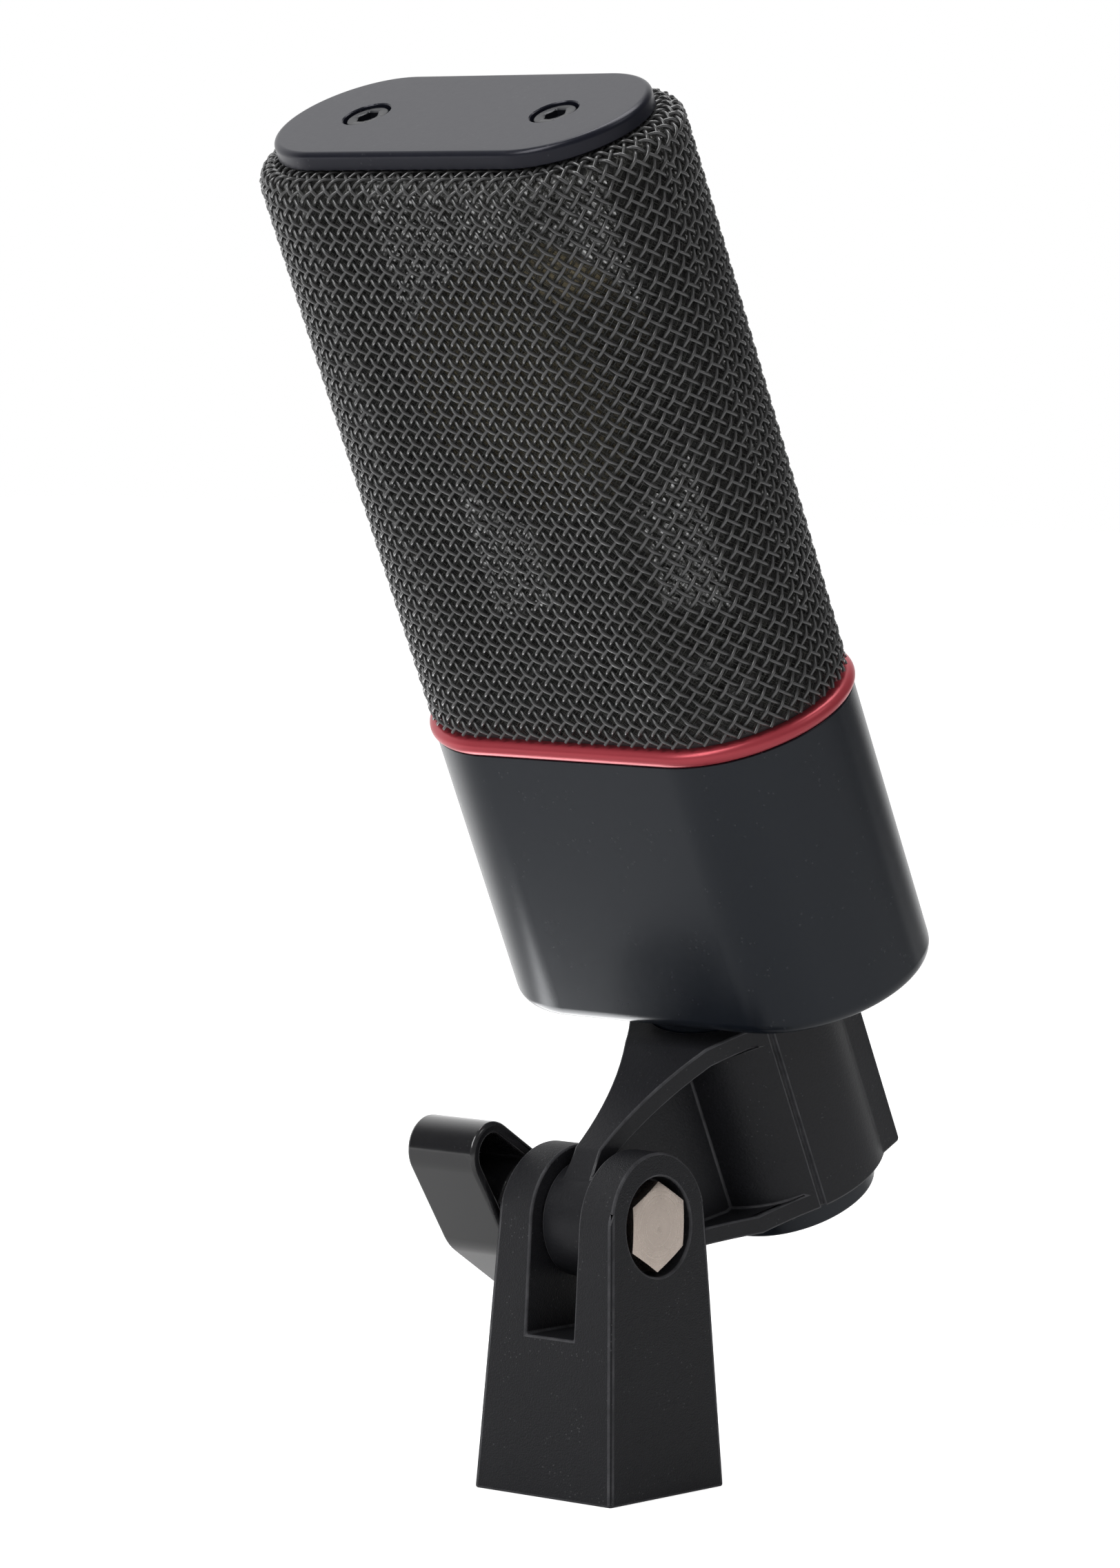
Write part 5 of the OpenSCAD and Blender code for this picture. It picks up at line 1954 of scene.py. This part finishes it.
@dataclass
class Studio:
    """The pale floor, the white backdrop behind it, the dim room in front and the lamps."""

    camera: PictureCamera
    ambient: float = 0.4
    room: float = 0.08
    room_edge: tuple[float, float] = (0.35, 0.8)
    card: float = 0.62
    floor_glow: float = 0.82
    sweep: tuple[float, float] = (0.1, 0.26)
    lean: float = math.radians(22)
    floor_reach: float = 3.0
    lamps: tuple[Lamp, ...] = (
        Lamp("key_box", -0.75, 0.75, 0.65, (0.5, 0.8), 6.4),
        Lamp("fill_box", 0.8, 0.85, 0.5, (0.5, 0.5), 0.8),
        Lamp("top_box", 0.1, 1.1, -0.1, (0.9, 0.5), 6.0),
        Lamp(
            "table_box", -0.04, 0.0, -0.08, (0.085, 0.1), 0.12,
            turn=math.radians(-21), flat=True, spared="knob_wings",
        ),
    )

    def build(self, centre: Vector) -> None:
        """Builds the studio around the object.

        Args:
            centre: The middle of the object.
        """
        bpy.context.scene.view_settings.view_transform = "Standard"
        self._floor()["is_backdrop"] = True
        self._surround()
        for lamp in self.lamps:
            lamp.build(self.camera, centre)

    def _depth(self, place: Field, edge: tuple[float, float], low: float, high: float) -> Field:
        """Rises away from the picture's side of the studio, and more so on its left.

        Args:
            place: A place or a direction in the row's frame.
            edge: Where the rise starts and ends.
            low: The value on the near side.
            high: The value on the far side.

        Returns:
            The value.
        """
        turn = self.camera.azimuth + self.lean
        away = (-math.sin(turn), math.cos(turn), 0.0)
        dot = wired(place.tree, "ShaderNodeVectorMath", place, away, operation="DOT_PRODUCT")
        feeds = (dot.outputs["Value"], *edge, low, high)
        ramp = wired(place.tree, "ShaderNodeMapRange", *feeds, interpolation_type="SMOOTHSTEP")
        return Field(place.tree, ramp.outputs[0])

    def _rays(self, tree: bpy.types.NodeTree, place: str) -> tuple[Field, Field, Field]:
        """Clears a tree and tells its rays apart.

        Args:
            tree: The material's or the world's tree.
            place: The texture coordinates' output that is wanted.

        Returns:
            Whether a ray is the camera's, whether it is bent or mirrored, and the place.
        """
        tree.nodes.clear()
        path = tree.nodes.new("ShaderNodeLightPath").outputs
        spot = tree.nodes.new("ShaderNodeTexCoord").outputs[place]
        glossy = Field(tree, path["Is Glossy Ray"])
        bent = glossy.most(Field(tree, path["Is Transmission Ray"]))
        return Field(tree, path["Is Camera Ray"]), bent, Field(tree, spot)

    def _floor(self) -> bpy.types.Object:
        """Lays the pale floor, which keeps the object's shadow and is lit behind the object.

        Returns:
            The floor.
        """
        shape = bmesh.new()
        bmesh.ops.create_grid(shape, x_segments=2, y_segments=2, size=self.floor_reach)
        floor = object_from(shape, "floor", Matrix.Identity(4))
        material = bpy.data.materials.new("floor_card")
        material.use_nodes = True
        tree = material.node_tree
        straight, bent, place = self._rays(tree, "Object")
        swept = bent * self._depth(place, self.sweep, 0.0, 1.0)
        glow = wired(tree, "ShaderNodeEmission", None, straight.most(swept) * self.floor_glow)
        card = wired(tree, "ShaderNodeBsdfDiffuse", full((self.card,) * 3))
        both = wired(tree, "ShaderNodeAddShader", card.outputs[0], glow.outputs[0])
        wired(tree, "ShaderNodeOutputMaterial", both.outputs[0])
        floor.data.materials.append(material)
        return floor

    def _surround(self) -> None:
        """Wraps the studio in white behind the object and in a dim room in front of it."""
        world = bpy.data.worlds.new("surround")
        bpy.context.scene.world = world
        world.use_nodes = True
        tree = world.node_tree
        straight, bent, way = self._rays(tree, "Generated")
        depth = self._depth(way, self.room_edge, self.room, 1.0)
        gloss = wired(tree, "ShaderNodeMix", bent, None, self.ambient, depth)
        seen = wired(tree, "ShaderNodeMix", straight, None, gloss.outputs[0], 1.0)
        glow = wired(tree, "ShaderNodeBackground", full((1.0, 1.0, 1.0)), seen.outputs[0])
        wired(tree, "ShaderNodeOutputWorld", glow.outputs[0])


# ---------------------------------------------------------------- everything together


CAPSULE_HEIGHT = 101.5 * MM


def finishes(mic: Matrix, hinge: Matrix) -> list[Finish]:
    """Lists the finishes of all material slots.

    Args:
        mic: The frame of the microphone.
        hinge: The frame of the hinge bolt.

    Returns:
        One finish for each slot.
    """
    raised = Matrix.Translation((0.0, 0.0, CAPSULE_HEIGHT))
    sound = mic @ raised @ Matrix.Rotation(math.pi / 2, 4, "X")
    upright = Matrix.Identity(4)
    # The edge colours below are painted highlights along the rounded edges.
    return [
        Moulding(
            "post_plastic", (0.0185, 0.0188, 0.022), roughness=0.46, grain=0.22 * MM,
            depth=0.12 * MM, tone=0.5, rubbed=(0.1, 0.1, 0.108), rubbed_roughness=0.34, dust=0.14,
            specular=0.3,
        ),
        Moulding(
            "clip_plastic", (0.019, 0.0193, 0.0225), roughness=0.38, grain=0.32 * MM,
            depth=0.035 * MM, tone=0.35, rubbed=(0.1, 0.1, 0.108), rubbed_roughness=0.3, dust=0.08,
            specular=0.3,
        ),
        Moulding(
            "knob_plastic", (0.0135, 0.0135, 0.0155), roughness=0.2, grain=0.5 * MM,
            depth=0.008 * MM, tone=0.15, rubbed=(0.04, 0.04, 0.042), rubbed_roughness=0.16,
            dust=0.06, coat=1.0,
        ),
        Moulding(
            "insulator_plastic", (0.012, 0.012, 0.013), roughness=0.4, grain=0.3 * MM,
            depth=0.01 * MM,
        ),
        Moulding(
            "saddle_plastic", (0.014, 0.014, 0.015), roughness=0.5, grain=0.3 * MM, depth=0.02 * MM,
        ),
        Moulding(
            "switch_plastic", (0.02, 0.02, 0.021), roughness=0.45, grain=0.2 * MM, depth=0.01 * MM,
        ),
        Moulding(
            "slider_plastic", (0.6, 0.6, 0.58), roughness=0.4, grain=0.25 * MM, depth=0.01 * MM,
            tone=0.08, rubbed=(0.72, 0.72, 0.7), dust=0.0,
        ),
        Moulding(
            "lead_wire", (0.72, 0.7, 0.62), roughness=0.45, grain=0.2 * MM, depth=0.01 * MM,
            tone=0.1, rubbed=(0.8, 0.78, 0.7),
        ),
        Moulding(
            "output_wire", (0.4, 0.03, 0.03), roughness=0.45, grain=0.2 * MM, depth=0.01 * MM,
            tone=0.1, rubbed=(0.5, 0.06, 0.06),
        ),
        Moulding(
            "capacitor_film", (0.5, 0.14, 0.04), roughness=0.35, grain=0.4 * MM, depth=0.02 * MM,
            tone=0.12, rubbed=(0.6, 0.22, 0.08),
        ),
        Paint("body_paint", (0.0068, 0.0095, 0.0148), roughness=0.25),
        Paint(
            "cap_paint", (0.009, 0.010, 0.017), roughness=0.3, peel=0.7 * MM, specular=0.42,
            sheen=(0.92, 0.91, 1.0),
        ),
        Metal(
            "cap_screw_black", (0.012, 0.013, 0.017), roughness=0.3, metallic=0.3,
            rubbed=(0.05, 0.05, 0.06),
        ),
        Metal(
            "ring_red", (0.52, 0.06, 0.08), roughness=0.32, spread=0.04, metallic=0.35, tone=0.05,
            rubbed=(0.6, 0.1, 0.12),
        ),
        Metal(
            "mesh_wire", (0.15, 0.15, 0.151), roughness=0.22, spread=0.1, metallic=0.55, tone=0.25,
            rubbed=(0.05, 0.05, 0.05),
        ),
        Gauze("mesh_fine", (0.088, 0.088, 0.082), place=mic),
        Metal(
            "bolt_steel", (0.7, 0.6, 0.53), roughness=0.3, spread=0.12, axis=hinge,
            depth=0.016 * MM, ring=0.16 * MM,
        ),
        Metal("washer_steel", (0.6, 0.6, 0.61), roughness=0.3, axis=hinge),
        Metal("brass", (0.62, 0.44, 0.17), roughness=0.3, axis=upright),
        Metal("pin_metal", (0.75, 0.6, 0.3), roughness=0.22, axis=mic),
        # The capsule's brass is drawn darker than the brass outside: painted shade inside the basket.
        Metal("capsule_brass", (0.3, 0.25, 0.15), roughness=0.28, axis=sound),
        Film("film_gold", (0.5, 0.42, 0.24)),
        Metal("frame_metal", (0.09, 0.09, 0.095), roughness=0.4, metallic=0.7),
        Metal("chassis_metal", (0.5, 0.5, 0.51), roughness=0.38),
        Metal("screw_steel", (0.6, 0.6, 0.61), roughness=0.28),
        Layered("board_green", (0.015, 0.11, 0.04), place=mic),
        Layered(
            "transformer_steel", (0.16, 0.16, 0.18), place=mic, pitch=0.5 * MM, gap=0.3, grain=2200.0,
            cloud=300.0, tone=0.25, roughness=0.42, spread=0.1, depth=0.05 * MM, metallic=0.8,
        ),
    ]


def dress_packed_nodes(nodes: dict[str, bpy.types.Object], wardrobe: Wardrobe) -> None:
    """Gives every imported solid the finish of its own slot, also where a finer piece hides it.

    Args:
        nodes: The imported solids.
        wardrobe: The finishes.
    """
    for name, node in sorted(nodes.items()):
        slot = node.material_slots[0].material.name.split(".")[0]
        wardrobe.dress(node, slot)
        LOG.info("%s: packed solid in %s", name, slot)


def features(mic: Matrix) -> list[Feature]:
    """Lists the things with image points of their own.

    Args:
        mic: The frame of the microphone.

    Returns:
        The features, each where the frame and the sizes put it.
    """
    low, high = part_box("post")
    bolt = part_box("hinge_bolt")
    head = Vector((bolt[1].x, 0.0, (bolt[0].z + bolt[1].z) / 2))
    head_ring = Stand.bolt_flats / 2 * Stand.face_share
    slot = Vector((-3.9 * MM, -9.95 * MM, 20.3 * MM))
    crown, screw = Lid.base + Lid.height, Lid.screw_x
    hole_ring = Lid.recess + Lid.recess_break
    return [
        Feature("foot_left", "post_body", Vector((low.x, low.y, 0.0))),
        Feature("foot_front", "post_body", Vector((high.x, low.y, 0.0))),
        Feature("foot_right", "post_body", Vector((high.x, high.y, 0.0))),
        Feature("bolt_head", "hex_bolt", head, head_ring),
        Feature("slot_floor", "post_body", slot),
        Feature("lid_screw_left", "cap", mic @ Vector((-screw, 0.0, crown)), hole_ring),
        Feature("lid_screw_right", "cap", mic @ Vector((screw, 0.0, crown)), hole_ring),
        Feature("ring_left", "red_ring", towards=(-1.0, 0.4)),
        Feature("ring_right", "red_ring", towards=(1.0, -0.2)),
        Feature("body_right", "body", towards=(1.0, 0.0)),
        Feature("lip_corner", "clip_body", towards=(1.0, 0.35)),
        Feature("knob_wing", "knob_wings", towards=(-1.0, 0.0)),
    ]


def main() -> None:
    """Builds the whole scene in order."""
    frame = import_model()
    camera = PictureCamera()
    camera.build()
    picture = Picture(camera)
    mic = MicFrame().matrix()
    hinge = Matrix.Translation((0.0, 0.0, MicFrame.hinge_z)) @ Matrix.Rotation(math.pi / 2, 4, "Y")
    nodes = frame["nodes"]
    wardrobe = Wardrobe(finishes(mic, hinge))
    dress_packed_nodes(nodes, wardrobe)
    repeat = RepeatRecipe()
    Stand(nodes, wardrobe).build(hinge)
    Clamp(nodes, wardrobe).build()
    Holder(nodes, wardrobe).build()
    Housing(nodes, wardrobe, mic).build()
    Basket(wardrobe, mic).build()
    Lid(wardrobe, repeat, mic).build()
    Switches(nodes, wardrobe, repeat, mic).build()
    middle = Vector((0.0, 0.0, 0.09))
    Studio(camera).build(middle)
    picture.report(features(mic))


if __name__ == "__main__":
    logging.basicConfig(level=logging.INFO, format="%(message)s")
    main()
